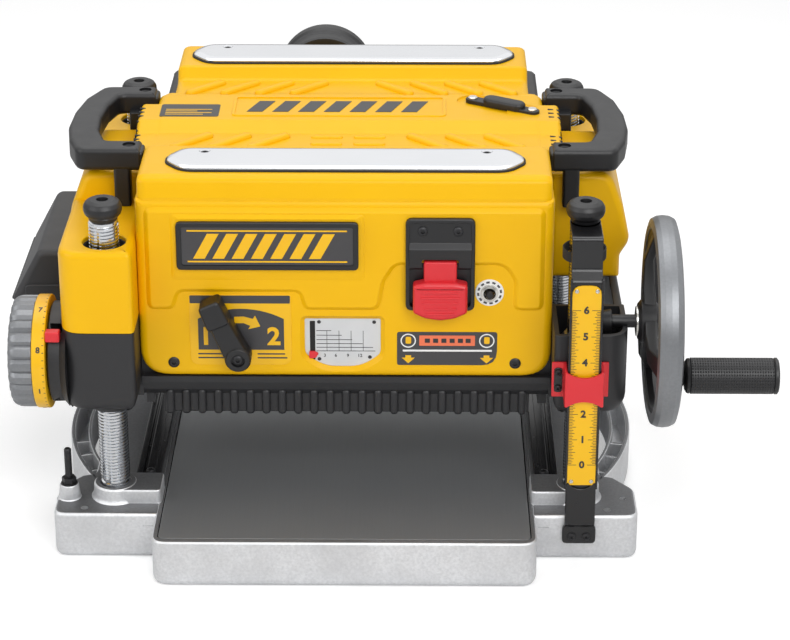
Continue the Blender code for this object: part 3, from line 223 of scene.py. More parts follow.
def cast_metal(name, colour, shade, rough, pit=1.6, metallic=1.0):
    """Die-cast and shot-blasted metal: a dull pebbled skin with darker specks where the shot bit.

    Shot marks are about 0.5 mm across. They are drawn coarser, so that they show.
    """
    made, tree, shader, place = blank(name)
    clouds = node(tree, "ShaderNodeTexNoise", {"Scale": per(45), "Detail": 5.0}, {"Vector": place})
    pits = node(tree, "ShaderNodeTexVoronoi", {"Scale": per(pit)}, {"Vector": place})
    grit = node(tree, "ShaderNodeTexNoise", {"Scale": per(2.4), "Detail": 4.0}, {"Vector": place})
    speckle = node(
        tree, "ShaderNodeMath", {"operation": "MULTIPLY"}, {0: clouds.outputs[0], 1: grit.outputs[0]}
    )
    spread = node(
        tree, "ShaderNodeMapRange", {"From Min": 0.12, "From Max": 0.42}, {"Value": speckle.outputs[0]}
    )
    tint = node(
        tree, "ShaderNodeMix", {"data_type": "RGBA", 6: linear(shade), 7: linear(colour)},
        {0: spread.outputs[0]},
    )
    gloss = node(
        tree, "ShaderNodeMapRange", {"To Min": rough - 0.06, "To Max": rough + 0.08},
        {"Value": clouds.outputs[0]},
    )
    relief = node(
        tree, "ShaderNodeBump", {"Strength": 0.30, "Distance": 0.12 * MM},
        {"Height": pits.outputs["Distance"]},
    )
    dress(tree, shader, tint, gloss, relief)
    shader.inputs["Metallic"].default_value = metallic
    return made


def ground_metal(name, colour, shade, rough, stretch=(1.0, 0.02, 1.0), line=0.8, metallic=1.0):
    """Ground or brushed metal: scratches that all run one way and draw the gloss out across them.

    A grinding grit leaves lines of about 0.1 mm. They are drawn wider, so that they show.
    """
    made, tree, shader, place = blank(name)
    along = node(tree, "ShaderNodeMapping", {"Scale": stretch}, {"Vector": place})
    lines = node(
        tree, "ShaderNodeTexNoise", {"Scale": per(line), "Detail": 4.0}, {"Vector": along.outputs[0]}
    )
    wiped = node(tree, "ShaderNodeTexNoise", {"Scale": per(90), "Detail": 2.0}, {"Vector": place})
    tint = node(
        tree, "ShaderNodeMix", {"data_type": "RGBA", 6: linear(colour), 7: linear(shade)},
        {0: wiped.outputs[0]},
    )
    gloss = node(
        tree, "ShaderNodeMapRange", {"To Min": rough - 0.08, "To Max": rough + 0.08},
        {"Value": lines.outputs[0]},
    )
    relief = node(
        tree, "ShaderNodeBump", {"Strength": 0.12, "Distance": 0.02 * MM}, {"Height": lines.outputs[0]}
    )
    dress(tree, shader, tint, gloss, relief)
    shader.inputs["Metallic"].default_value = metallic
    return made


def printed_film(name, colour, shade, rough=0.38):
    """Screen-printed ink on a film: flat colour, a faint mottle, and the slight orange peel of the film."""
    made, tree, shader, place = blank(name)
    mottle = node(tree, "ShaderNodeTexNoise", {"Scale": per(22), "Detail": 3.0}, {"Vector": place})
    peel = node(tree, "ShaderNodeTexNoise", {"Scale": per(1.1), "Detail": 2.0}, {"Vector": place})
    tint = node(
        tree, "ShaderNodeMix", {"data_type": "RGBA", 6: linear(colour), 7: linear(shade)},
        {0: mottle.outputs[0]},
    )
    gloss = node(
        tree, "ShaderNodeMapRange", {"To Min": rough - 0.04, "To Max": rough + 0.05},
        {"Value": mottle.outputs[0]},
    )
    relief = node(
        tree, "ShaderNodeBump", {"Strength": 0.10, "Distance": 0.02 * MM}, {"Height": peel.outputs[0]}
    )
    dress(tree, shader, tint, gloss, relief)
    return made


# ABS, injection-moulded: deep warm yellow, half-gloss, so broad soft highlights.
YELLOW_ABS = moulded_plastic("yellow_abs_moulded", "#F3BD00", "#EEB400", 0.36, 0.8, 0.03, 1.33)
# Glass-filled nylon, moulded: nearly black, dull, with a dry sandy skin.
BLACK_NYLON = moulded_plastic("black_nylon_moulded", "#121214", "#19191B", 0.42, 1.1, 0.06)
# The same nylon in the gearbox cover, a shade greyer.
GREY_NYLON = moulded_plastic("dark_grey_nylon_moulded", "#2A2A2C", "#303032", 0.52, 1.3, 0.08)
# Aluminium casting under black powder coat: finer and duller than nylon.
BLACK_COAT = moulded_plastic("black_powder_coat", "#1F1F21", "#262628", 0.46, 1.6, 0.08)
# ABS, injection-moulded in a polished mould: clear signal red with tight highlights.
RED_ABS = moulded_plastic("red_abs_moulded", "#DE2A33", "#D0222B", 0.34, 0.8, 0.02)
# Nylon under metallic silver paint: satin, slightly grainy from the flake.
SILVER_PAINT = cast_metal("silver_painted_nylon", "#85878A", "#7C7E81", 0.36, 0.9, 0.6)
# Aluminium, die-cast and shot-blasted: pale, matt and pebbled.
CAST_ALUMINIUM = cast_metal("aluminium_die_cast", "#E2E3E5", "#CDCED0", 0.50, 1.6, 0.8)
# The flat tops of the same casting, painted a darker grey: a painted reflection of the dark head they face.
PAINTED_REFLECTION_ALUMINIUM = cast_metal("aluminium_cast_top_painted_reflection", "#8A8B8D", "#7B7C7E", 0.62)
# Carbon steel, ground and polished: fine lines along the feed.
TABLE_STEEL = ground_metal("table_steel_ground", "#8F9193", "#87898B", 0.40, (1.0, 0.03, 1.0), 1.6, 0.55)
# Steel under hard chrome, polished: a clear mirror with faint lines along the bar.
CHROME = ground_metal("hard_chrome_polished", "#E2E3E6", "#D8DADD", 0.12, (0.05, 1.0, 1.0), 1.2)
# Turned and chromed screw thread: bright crests that catch the lamps.
THREAD_STEEL = ground_metal("threaded_steel_chromed", "#D6D8DB", "#C8CACD", 0.16, (1.0, 1.0, 0.3), 1.5)
# Tool steel, ground: mid grey with a soft stretched shine.
TOOL_STEEL = ground_metal("tool_steel_ground", "#A9ABAE", "#9A9CA0", 0.30, (0.05, 1.0, 1.0))
# Steel under stove enamel: deep black and glossy.
BLACK_ENAMEL = moulded_plastic("black_enamel_steel", "#141416", "#1A1A1C", 0.24, 1.4, 0.008)
# Steel screws, blackened in oxide: dark with a dull metallic sheen.
BLACK_OXIDE = cast_metal("black_oxide_steel", "#3A3A3C", "#2A2A2C", 0.40, 0.6, 0.6)
# Steel under nickel plate: a slightly warm, soft mirror.
NICKEL = ground_metal("nickel_plated_steel", "#D4D2CC", "#C4C2BC", 0.20, (1.0, 1.0, 1.0))
# Rubber, vulcanised: black and dusty, with next to no shine.
RUBBER = moulded_plastic("black_rubber", "#1C1C1D", "#262627", 0.78, 0.7, 0.10)
# Bronze, sintered: dull brown with open pores.
BRONZE = cast_metal("sintered_bronze", "#B08D57", "#98783F", 0.42, 0.6)
# Inks, screen-printed on film: flat colours with a low sheen.
YELLOW_INK = printed_film("yellow_ink_on_film", "#F4BE00", "#EFB600", 0.34)
BLACK_INK = printed_film("black_ink_on_film", "#262527", "#2F2E30")
GREY_INK = printed_film("grey_ink_on_film", "#3A393B", "#403F41")
WHITE_INK = printed_film("white_ink_on_film", "#F2F2F0", "#E8E8E6")
ORANGE_INK = printed_film("orange_ink_on_film", "#EF7A52", "#E9714A")
SILVER_FILM = printed_film("silver_film", "#D4D6D8", "#C6C8CA", 0.30)
# Flat black standing in for the shade inside gaps, slots and vents: painted shadow.
PAINTED_SHADOW_BLACK = printed_film("shadow_gap_black", "#0C0C0D", "#121213", 0.70)


# ---- shaping tools, in millimetres -----------------------------------------------------------
def spans(name):
    """A CAD node's reach along X, Y and Z."""
    low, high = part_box(name)
    return [(low[axis] / MM, high[axis] / MM) for axis in range(3)]


def solid(work):
    """A new object from a closed bmesh in millimetres, faces outwards, in metres."""
    bmesh.ops.remove_doubles(work, verts=work.verts, dist=0.002)
    bmesh.ops.recalc_face_normals(work, faces=work.faces)
    if work.calc_volume(signed=True) < 0:
        bmesh.ops.reverse_faces(work, faces=work.faces)
    bmesh.ops.scale(work, vec=(MM, MM, MM), verts=work.verts)
    mesh = bpy.data.meshes.new("shape")
    work.to_mesh(mesh)
    work.free()
    made = bpy.data.objects.new("shape", mesh)
    bpy.context.scene.collection.objects.link(made)
    return made


def spot(axis, u, v, along):
    """A point from the two coordinates across an axis, in X, Y, Z order, and the one along it."""
    return {"X": (along, u, v), "Y": (u, along, v), "Z": (u, v, along)}[axis]


def skin(work, first, second):
    """Faces between two rings of points. A ring of one point makes a fan."""
    if len(first) == 1 and len(second) == 1:
        return
    count = max(len(first), len(second))
    for number in range(count):
        after = (number + 1) % count
        ring = [
            first[number % len(first)], first[after % len(first)], second[after % len(second)],
            second[number % len(second)],
        ]
        corners = []
        for vert in ring:
            if vert not in corners:
                corners.append(vert)
        work.faces.new(corners)


def loft(axis, rings, closed=False):
    """A skin through outlines that have the same number of points, each at its own place along the axis."""
    work = bmesh.new()
    made = [[work.verts.new(spot(axis, u, v, along)) for u, v in outline] for outline, along in rings]
    for first, second in zip(made, made[1:] + (made[:1] if closed else [])):
        skin(work, first, second)
    if not closed:
        work.faces.new(made[0])
        work.faces.new(made[-1])
    return solid(work)


def crossing(here, way, there, other_way):
    """Where two lines meet, each from a point and a direction."""
    lean = way.cross(other_way)
    if abs(lean) < 1e-6:
        return (here + there) / 2
    return here + way * ((there - here).cross(other_way) / lean)


def inset(outline, depth):
    """The outline moved inwards. A rounded corner tighter than the depth closes up to one point."""
    if not depth:
        return list(outline)
    points = [Vector(point) for point in outline]
    count = len(points)
    area = sum(a.x * b.y - b.x * a.y for a, b in zip(points, points[1:] + points[:1]))
    turn = 1 if area > 0 else -1
    moved = []
    for number, here in enumerate(points):
        back = (here - points[number - 1]).normalized()
        ahead = (points[(number + 1) % count] - here).normalized()
        inward = Vector((-back.y - ahead.y, back.x + ahead.x)) * turn
        across = Vector((-back.y, back.x)) * turn
        inward.normalize()
        moved.append(here + inward * depth / max(inward.dot(across), 0.5))
    ways = [points[(number + 1) % count] - points[number] for number in range(count)]
    folded = [
        (moved[(number + 1) % count] - moved[number]).dot(ways[number]) <= 0 for number in range(count)
    ]
    made = list(moved)
    for start in range(count):
        if not folded[start] or folded[start - 1]:
            continue
        end = start
        while folded[end % count] and end < start + count:
            end += 1
        meet = crossing(moved[start], ways[start - 1], moved[end % count], ways[end % count])
        for number in range(start, end + 1):
            made[number % count] = meet
    return [tuple(point) for point in made]


def slab(axis, outline, ends, edge=0.0, foot=0.0, steps=3):
    """A flat outline with thickness. Edge rounds the rim at the second end, foot the one at the first."""
    way = 1 if ends[1] > ends[0] else -1
    rings = []
    for size, end, side in ((foot, ends[0], way), (edge, ends[1], -way)):
        reach, rise = size if isinstance(size, tuple) else (size, size)
        band = []
        for step in range(steps + 1 if rise else 1):
            angle = math.pi / 2 * step / steps
            band.append(
                (inset(outline, reach * (1 - math.cos(angle))), end + side * rise * (1 - math.sin(angle)))
            )
        rings += band if side == -way else band[::-1]
    return loft(axis, rings)


def turned(axis, centre, profile, steps=48, closed=False):
    """A turned shape. The profile gives (place along the axis, radius) from end to end."""
    work = bmesh.new()
    rings = []
    for along, radius in profile:
        count = steps if radius > 0 else 1
        angles = [2 * math.pi * number / count for number in range(count)]
        points = [
            spot(axis, centre[0] + radius * math.cos(a), centre[1] + radius * math.sin(a), along)
            for a in angles
        ]
        rings.append([work.verts.new(point) for point in points])
    for first, second in zip(rings, rings[1:] + (rings[:1] if closed else [])):
        skin(work, first, second)
    return solid(work)


def rod(start, end, radius):
    """The profile of a plain round bar or bore."""
    return [(start, 0), (start, radius), (end, radius), (end, 0)]


def arc(centre, radius, start, end, steps):
    """Points of an arc, angles in degrees."""
    angles = [math.radians(start + (end - start) * step / steps) for step in range(steps + 1)]
    return [(centre[0] + radius * math.cos(a), centre[1] + radius * math.sin(a)) for a in angles]


def fillet(points, radius=0.0, closed=True, steps=4):
    """Rounds the corners of an outline. A point may carry its own radius as a third number."""
    made = []
    for number, point in enumerate(points):
        here = Vector(point[:2])
        size = point[2] if len(point) > 2 else radius
        if size <= 0 or (not closed and number in (0, len(points) - 1)):
            made.append(tuple(here))
            continue
        back = Vector(points[number - 1][:2]) - here
        ahead = Vector(points[(number + 1) % len(points)][:2]) - here
        reach = min(size / math.tan(back.angle(ahead) / 2), 0.48 * back.length, 0.48 * ahead.length)
        start, end = here + back.normalized() * reach, here + ahead.normalized() * reach
        for step in range(steps + 1):
            t = step / steps
            made.append(tuple(start * (1 - t) ** 2 + here * 2 * t * (1 - t) + end * t * t))
    return made


def oblong(x, y, radius=0.0, steps=4):
    """A rectangle's outline with rounded corners."""
    return fillet([(x[0], y[0]), (x[1], y[0]), (x[1], y[1]), (x[0], y[1])], radius, steps=steps)


def dense(outline, step):
    """The outline with its long sides cut into steps."""
    made = []
    for number, point in enumerate(outline):
        here, after = Vector(point), Vector(outline[(number + 1) % len(outline)])
        count = max(1, round((after - here).length / step))
        made += [tuple(here.lerp(after, share / count)) for share in range(count)]
    return made


def ring_round(outline, centre, radius):
    """A circle with one point for each point of the outline, seen from its centre."""
    made = []
    for point in outline:
        way = (Vector(point) - Vector(centre)).normalized()
        made.append(tuple(Vector(centre) + way * radius))
    return made


def capsule(centre, length, width, lean=0.0, steps=8):
    """A bar with round ends, seen from above, turned by lean degrees."""
    half = (length - width) / 2
    points = arc((half, 0), width / 2, -90, 90, steps) + arc((-half, 0), width / 2, 90, 270, steps)
    turn = Matrix.Rotation(math.radians(lean), 2)
    return [tuple(Vector(centre) + turn @ Vector(point)) for point in points]


def baked(target):
    """The object with its modifiers applied to its mesh."""
    graph = bpy.context.evaluated_depsgraph_get()
    mesh = bpy.data.meshes.new_from_object(target.evaluated_get(graph), depsgraph=graph)
    target.modifiers.clear()
    target.data = mesh
    return target


def combined(target, others, operation):
    """The object with others joined to it or taken from it, one after another."""
    for other in others:
        step = target.modifiers.new("shape", "BOOLEAN")
        step.operation = operation
        step.object = other
        step.solver = "EXACT"
        baked(target)
        bpy.data.objects.remove(other)
    return target


def cut(target, *cutters):
    return combined(target, cutters, "DIFFERENCE")


def fused(target, *others):
    return combined(target, others, "UNION")


def merged(*shapes):
    """Several closed shapes as one object."""
    work = bmesh.new()
    for shape in shapes:
        work.from_mesh(shape.data)
    mesh = bpy.data.meshes.new("shape")
    work.to_mesh(mesh)
    work.free()
    for shape in shapes[1:]:
        bpy.data.objects.remove(shape)
    shapes[0].data = mesh
    return shapes[0]


def mirrored(shape):
    """A copy on the other side of the middle plane."""
    work = bmesh.new()
    work.from_mesh(shape.data)
    bmesh.ops.scale(work, vec=(-1, 1, 1), verts=work.verts)
    bmesh.ops.reverse_faces(work, faces=work.faces)
    mesh = bpy.data.meshes.new("shape")
    work.to_mesh(mesh)
    work.free()
    made = bpy.data.objects.new("shape", mesh)
    bpy.context.scene.collection.objects.link(made)
    return made


def piece(name, body, finish, *shapes, replaces=(), sharp=32):
    """Joins shapes to one finished piece that rides on a body."""
    made = merged(*shapes)
    made.name = name
    made.data.name = name
    made.data.materials.clear()
    made.data.materials.append(finish)
    made.data.shade_smooth()
    made.data.set_sharp_from_angle(angle=math.radians(sharp))
    level = made.modifiers.new("level_faces", "WEIGHTED_NORMAL")
    level.keep_sharp = True
    baked(made)
    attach(made, body)
    if replaces:
        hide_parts(*replaces)
    return made


def screw(axis, centre, seat, top, radius):
    """A pan-head screw with a round socket, from its seat to the top of its head."""
    rise = top - seat
    profile = [
        (seat, 0), (seat, radius), (seat + 0.55 * rise, radius), (seat + 0.85 * rise, radius * 0.86),
        (top, radius * 0.62), (top, radius * 0.42), (seat + 0.35 * rise, radius * 0.36),
        (seat + 0.35 * rise, 0),
    ]
    return turned(axis, centre, profile, 24)


def lettering(text, size, place, thickness=0.25, bold=0.25, turn=None):
    """Raised characters that face the front, centred on a place, in millimetres."""
    curve = bpy.data.curves.new("characters", "FONT")
    curve.body = text
    curve.size = size
    curve.align_x = "CENTER"
    curve.align_y = "CENTER"
    curve.extrude = thickness / 2
    curve.offset = bold
    curve.resolution_u = 3
    sheet = bpy.data.objects.new("characters", curve)
    bpy.context.scene.collection.objects.link(sheet)
    graph = bpy.context.evaluated_depsgraph_get()
    mesh = bpy.data.meshes.new_from_object(sheet.evaluated_get(graph), depsgraph=graph)
    bpy.data.objects.remove(sheet)
    upright = Matrix.Rotation(math.radians(90), 4, "X")
    mesh.transform(Matrix.Translation(Vector(place)) @ (turn or Matrix.Identity(4)) @ upright)
    mesh.transform(Matrix.Scale(MM, 4))
    made = bpy.data.objects.new("shape", mesh)
    bpy.context.scene.collection.objects.link(made)
    return made


# ---- places shared by several pieces ---------------------------------------------------------
TABLE_X = spans("table_plate")[0][1]
TABLE_Y = spans("table_plate")[1][1]
TABLE_Z = spans("table_plate")[2][1]
BASE_X = TABLE_X + 6
BASE_Y = spans("base_casting")[1][1]
BOSS_Z = spans("base_casting")[2][1]
CORNERS = {"front_left": (-1, -1), "front_right": (1, -1), "rear_left": (-1, 1), "rear_right": (1, 1)}
POST_X = sum(spans("lift_post_front_right")[0]) / 2
POST_Y = sum(spans("lift_post_rear_right")[1]) / 2
POST_R = 13.5
HEAD_X = 254.0  # half the width of the head
CHEEK_X = 187  # half its width between the posts
STOP = tuple(round(sum(spans("depth_stop_bolt")[axis]) / 2, 1) for axis in (0, 1))
TURRET = tuple(round(sum(spans("stop_turret_ring")[axis]) / 2, 1) for axis in (1, 2))
WHEEL = (-POST_Y, sum(spans("hand_wheel")[2]) / 2)
WING_X, WING_Y = 268, 198
GRIP_CENTRE = Vector((22.25, 0))  # the bowed side grip is struck from here
PITCH = 3.175  # 8 threads to the inch


# ---- base ------------------------------------------------------------------------------------
def grip_band(outer, inner, ends, edge=0.0):
    """A strip of the bowed side grip, between two radii round the grip's own centre."""
    reach, steps = 31, 24
    outline = arc(GRIP_CENTRE, outer, -reach, reach, steps) + arc(GRIP_CENTRE, inner, reach, -reach, steps)
    return slab("Z", outline, ends, edge)


def side_wing():
    """The right-hand wing of the base with its grip, its bosses and its holes."""
    root = 170
    quarter = [(238, 118, 8), (250, 122, 6), (WING_X, 145, 16), (WING_X, WING_Y, 12)]
    outline = [(root, -WING_Y)] + [(x, -y, r) for x, y, r in reversed(quarter)] + quarter + [(root, WING_Y)]
    wing = slab("Z", fillet(outline), (0, TABLE_Z), (4, 4), (6, 7))
    holes = [turned("Z", (240, y), rod(30, 60, 3.5), 20) for y in (-187, 187)]
    holes.append(turned("Z", (-STOP[0], STOP[1]), rod(30, 60, 3), 20))
    hollows = [slab("Z", oblong((178, 262), (sy * 152, sy * 190), 3), (-2, TABLE_Z - 9)) for sy in (-1, 1)]
    hollows.append(slab("Z", oblong((178, 232), (-110, 110), 3), (-2, TABLE_Z - 9)))
    cut(wing, merged(*holes), merged(*hollows))
    shapes = [wing]
    for sy in (-1, 1):
        step_y = (sy * POST_Y - 18, sy * POST_Y + 18)
        shapes.append(slab("Z", oblong((root, POST_X), step_y, 5), (TABLE_Z - 3, BOSS_Z - 0.5), 2, (-4, 4)))
        profile = [
            (TABLE_Z - 3, 0), (TABLE_Z - 3, 25), (TABLE_Z + 1, 22), (TABLE_Z + 4, 20.5),
            (BOSS_Z - 1.5, 20), (BOSS_Z, 18.5), (BOSS_Z, POST_R + 1), (BOSS_Z - 6, POST_R + 1),
            (BOSS_Z - 6, 0),
        ]
        shapes.append(turned("Z", (POST_X, sy * POST_Y), profile))
    shapes.append(grip_band(251.75, 247.3, (8, TABLE_Z), 1.6))
    shapes.append(grip_band(235.0, 231.75, (10, TABLE_Z - 1), 1.2))
    shapes.append(grip_band(249, 233, (12, 17)))
    for angle in (-25, -17, -10.5, 10.5, 17, 25):
        way = Vector((math.cos(math.radians(angle)), math.sin(math.radians(angle))))
        side = Vector((-way.y, way.x)) * 1.7
        start, end = GRIP_CENTRE + way * 233, GRIP_CENTRE + way * 249.5
        rib = [tuple(start - side), tuple(end - side), tuple(end + side), tuple(start + side)]
        shapes.append(slab("Z", rib, (12, TABLE_Z - 5), 1))
    return merged(*shapes)


def dull_tops(obj, low):
    """Gives the faces that look up, above a height, a darker second material: a painted reflection of the
    dark head.
    """
    obj.data.materials.append(PAINTED_REFLECTION_ALUMINIUM)
    for face in obj.data.polygons:
        if face.normal.z > 0.86 and face.center.z > low * MM:
            face.material_index = 1


def make_base():
    """The cast base with its two wings, the ground table plate, and a black sheet under the plate that
    paints the shadow in the gap round it.
    """
    block = slab(
        "Z", oblong((-BASE_X, BASE_X), (-BASE_Y, BASE_Y), 15, 6), (0, TABLE_Z), (2.4, 2.4), (7, 8), 4
    )
    gap = 1.3
    recess_x, recess_y = TABLE_X + gap, TABLE_Y + gap
    recess = slab("Z", oblong((-recess_x, recess_x), (-recess_y, recess_y), 8), (TABLE_Z - 3, TABLE_Z + 5))
    hollows = []
    for x in ((-165, -4), (4, 165)):
        for y in ((-243, -4), (4, 243)):
            hollows.append(slab("Z", oblong(x, y, 4), (-2, TABLE_Z - 8)))
    cut(block, recess, merged(*hollows))
    wing = side_wing()
    stop = turned("Z", STOP, [(44, 0), (44, 12.5), (47, 10), (58.5, 9), (BOSS_Z, 8), (BOSS_Z, 0)], 32)
    # Parting lines of the mould show as fine ridges on the front faces.
    lines = [
        slab("Y", oblong((sx * 176, sx * 186), (32.6, 33.6), 0.3), (-WING_Y - 0.35, -WING_Y + 1))
        for sx in (-1, 1)
    ]
    lines.append(slab("Y", oblong((185.6, 186.6), (8, 33.6), 0.3), (-WING_Y - 0.35, -WING_Y + 1)))
    base = piece(
        "cast_base", "base", CAST_ALUMINIUM, block, mirrored(wing), wing, stop, *lines,
        replaces=["base_casting"],
    )
    # The tops of the casting take a painted darker reflection.
    dull_tops(base, 30)
    plate = slab(
        "Z", oblong((-TABLE_X, TABLE_X), (-TABLE_Y, TABLE_Y), 6), (TABLE_Z - 1.5, TABLE_Z), (0.7, 0.6),
        0.0, 2,
    )
    piece("polished_table", "base", TABLE_STEEL, plate, replaces=["table_plate"])
    # A black sheet in the gap round the plate: painted shadow.
    seat = slab(
        "Z", oblong((-recess_x + 0.2, recess_x - 0.2), (-recess_y + 0.2, recess_y - 0.2), 8),
        (TABLE_Z - 3.1, TABLE_Z - 1.6),
    )
    piece("table_gap_painted_shadow", "base", PAINTED_SHADOW_BLACK, seat)


def make_rails():
    """The black guide rails beside the table, each held by a screw at either end."""
    (inner, outer), (front, back), (low, top) = spans("side_rail_right")
    profile = [
        (inner, low), (outer, low), (outer, top, 1), (outer - 6, top, 1), (outer - 6, low + 2, 0.5),
        (outer - 9, low + 2, 0.5), (outer - 9, top, 1), (inner + 5, top, 1), (inner + 5, top - 3, 0.5),
        (inner, top - 3, 0.8),
    ]
    rail = slab("Y", fillet(profile, steps=2), (front, back), 0.8, 0.8, 2)
    screws = merged(*[screw("Z", (inner + 9, y), top - 1, top + 2.2, 4.2) for y in (front + 7, back - 7)])
    for side, shape, heads in (("left", mirrored(rail), mirrored(screws)), ("right", rail, screws)):
        piece(f"guide_rail_{side}", "base", BLACK_ENAMEL, shape, replaces=[f"side_rail_{side}"])
        piece(f"guide_rail_screws_{side}", "base", BLACK_OXIDE, heads)


def thread(centre, radius, root, ends, pitch):
    """A screw thread as one closed skin, with a narrow keyway down its side."""
    steps = 32
    lift = [(0.0, root), (0.20, root), (0.34, radius), (0.86, radius)]
    rows = int((ends[1] - ends[0]) / pitch) * len(lift)
    work = bmesh.new()
    grid = []
    for row in range(rows):
        share, size = lift[row % len(lift)]
        base = ends[0] + (row // len(lift) + share) * pitch
        ring = []
        for column in range(steps):
            angle = 2 * math.pi * (column / steps) - math.radians(112)
            far = size - (1.1 if column == 0 and size > root else 0)
            if row < 2 or row > rows - 3:
                far = root - 0.3
            x, y = centre[0] + far * math.cos(angle), centre[1] + far * math.sin(angle)
            ring.append(work.verts.new((x, y, base + pitch * column / steps)))
        grid.append(ring)
    turn = len(lift)
    for row in range(rows - 1):
        for column in range(steps - 1):
            work.faces.new(
                (grid[row][column], grid[row][column + 1], grid[row + 1][column + 1], grid[row + 1][column])
            )
        if row + 1 + turn < rows:
            work.faces.new((grid[row][-1], grid[row + turn][0], grid[row + turn + 1][0], grid[row + 1][-1]))
    foot = work.verts.new((*centre, ends[0]))
    head = work.verts.new((*centre, ends[1]))
    for middle, loop in (
        (foot, grid[0] + [grid[row][0] for row in range(turn, 0, -1)]),
        (head, grid[-1] + [grid[row][-1] for row in range(rows - 2, rows - turn - 2, -1)]),
    ):
        for first, second in zip(loop, loop[1:] + loop[:1]):
            work.faces.new((first, second, middle))
    return solid(work)


def make_posts():
    """Four threaded posts, each under a domed cap."""
    for corner, (sx, sy) in CORNERS.items():
        centre = (sx * POST_X, sy * POST_Y)
        low, high = spans(f"lift_post_{corner}")[2]
        cap_low, cap_high = spans(f"post_cap_{corner}")[2]
        root, stud = POST_R - 1.5, 6
        shoulder = cap_low - 3.6 if corner == "front_right" else cap_low - 0.3
        core = [
            (low, 0), (low, 14), (low + 4, 14), (low + 4, 9), (14.3, 9), (14.3, POST_R - 0.4),
            (62, POST_R - 0.4), (63, root - 0.2), (shoulder - 3, root - 0.2),
            (shoulder - 2.4, POST_R - 0.6), (shoulder - 0.6, POST_R - 0.6), (shoulder, POST_R - 1.4),
            (shoulder, stud), (high, stud), (high, 0),
        ]
        screwed = thread(centre, POST_R, root, (62.5, shoulder - 1), PITCH)
        piece(
            f"threaded_post_{corner}", f"post_{corner}", THREAD_STEEL, turned("Z", centre, core), screwed,
            replaces=[f"lift_post_{corner}"],
        )
        b, t = cap_low, cap_high
        cap = [
            (b + 2, 0), (b + 2, stud + 1), (b, stud + 2), (b, 12.6), (b + 3, 13.4, 3), (b + 6, 16.2, 3),
            (b + 9.5, 17.3, 3), (b + 13.5, 17.1, 3), (t - 2, 15, 3), (t, 11, 2), (t, 5.2), (t - 5, 4.8),
            (t - 5, 0),
        ]
        piece(
            f"domed_cap_{corner}", f"post_{corner}", BLACK_NYLON,
            turned("Z", centre, fillet(cap, 0.8, False, 2)), replaces=[f"post_cap_{corner}"],
        )


def make_stop_bolt():
    """The depth stop: a thin bolt that stands in its lock nut."""
    low, high = spans("depth_stop_bolt")[2]
    nut_low = BOSS_Z + 0.3
    shank = [(low, 0), (low, 3.4), (high - 1.2, 3.4), (high, 2.4)]
    shank += [(high, 1.6), (high - 1.5, 1.4), (high - 1.5, 0)]
    shank = turned("Z", STOP, shank, 24)
    nut = slab("Z", arc(STOP, 6.8, 0, 300, 5), (nut_low, nut_low + 6.5), 0.8, 0.4, 2)
    washer = turned("Z", STOP, rod(nut_low - 0.2, nut_low + 1, 7.4), 32)
    piece("stop_screw", "base", BLACK_OXIDE, shank, nut, washer, replaces=["depth_stop_bolt"])


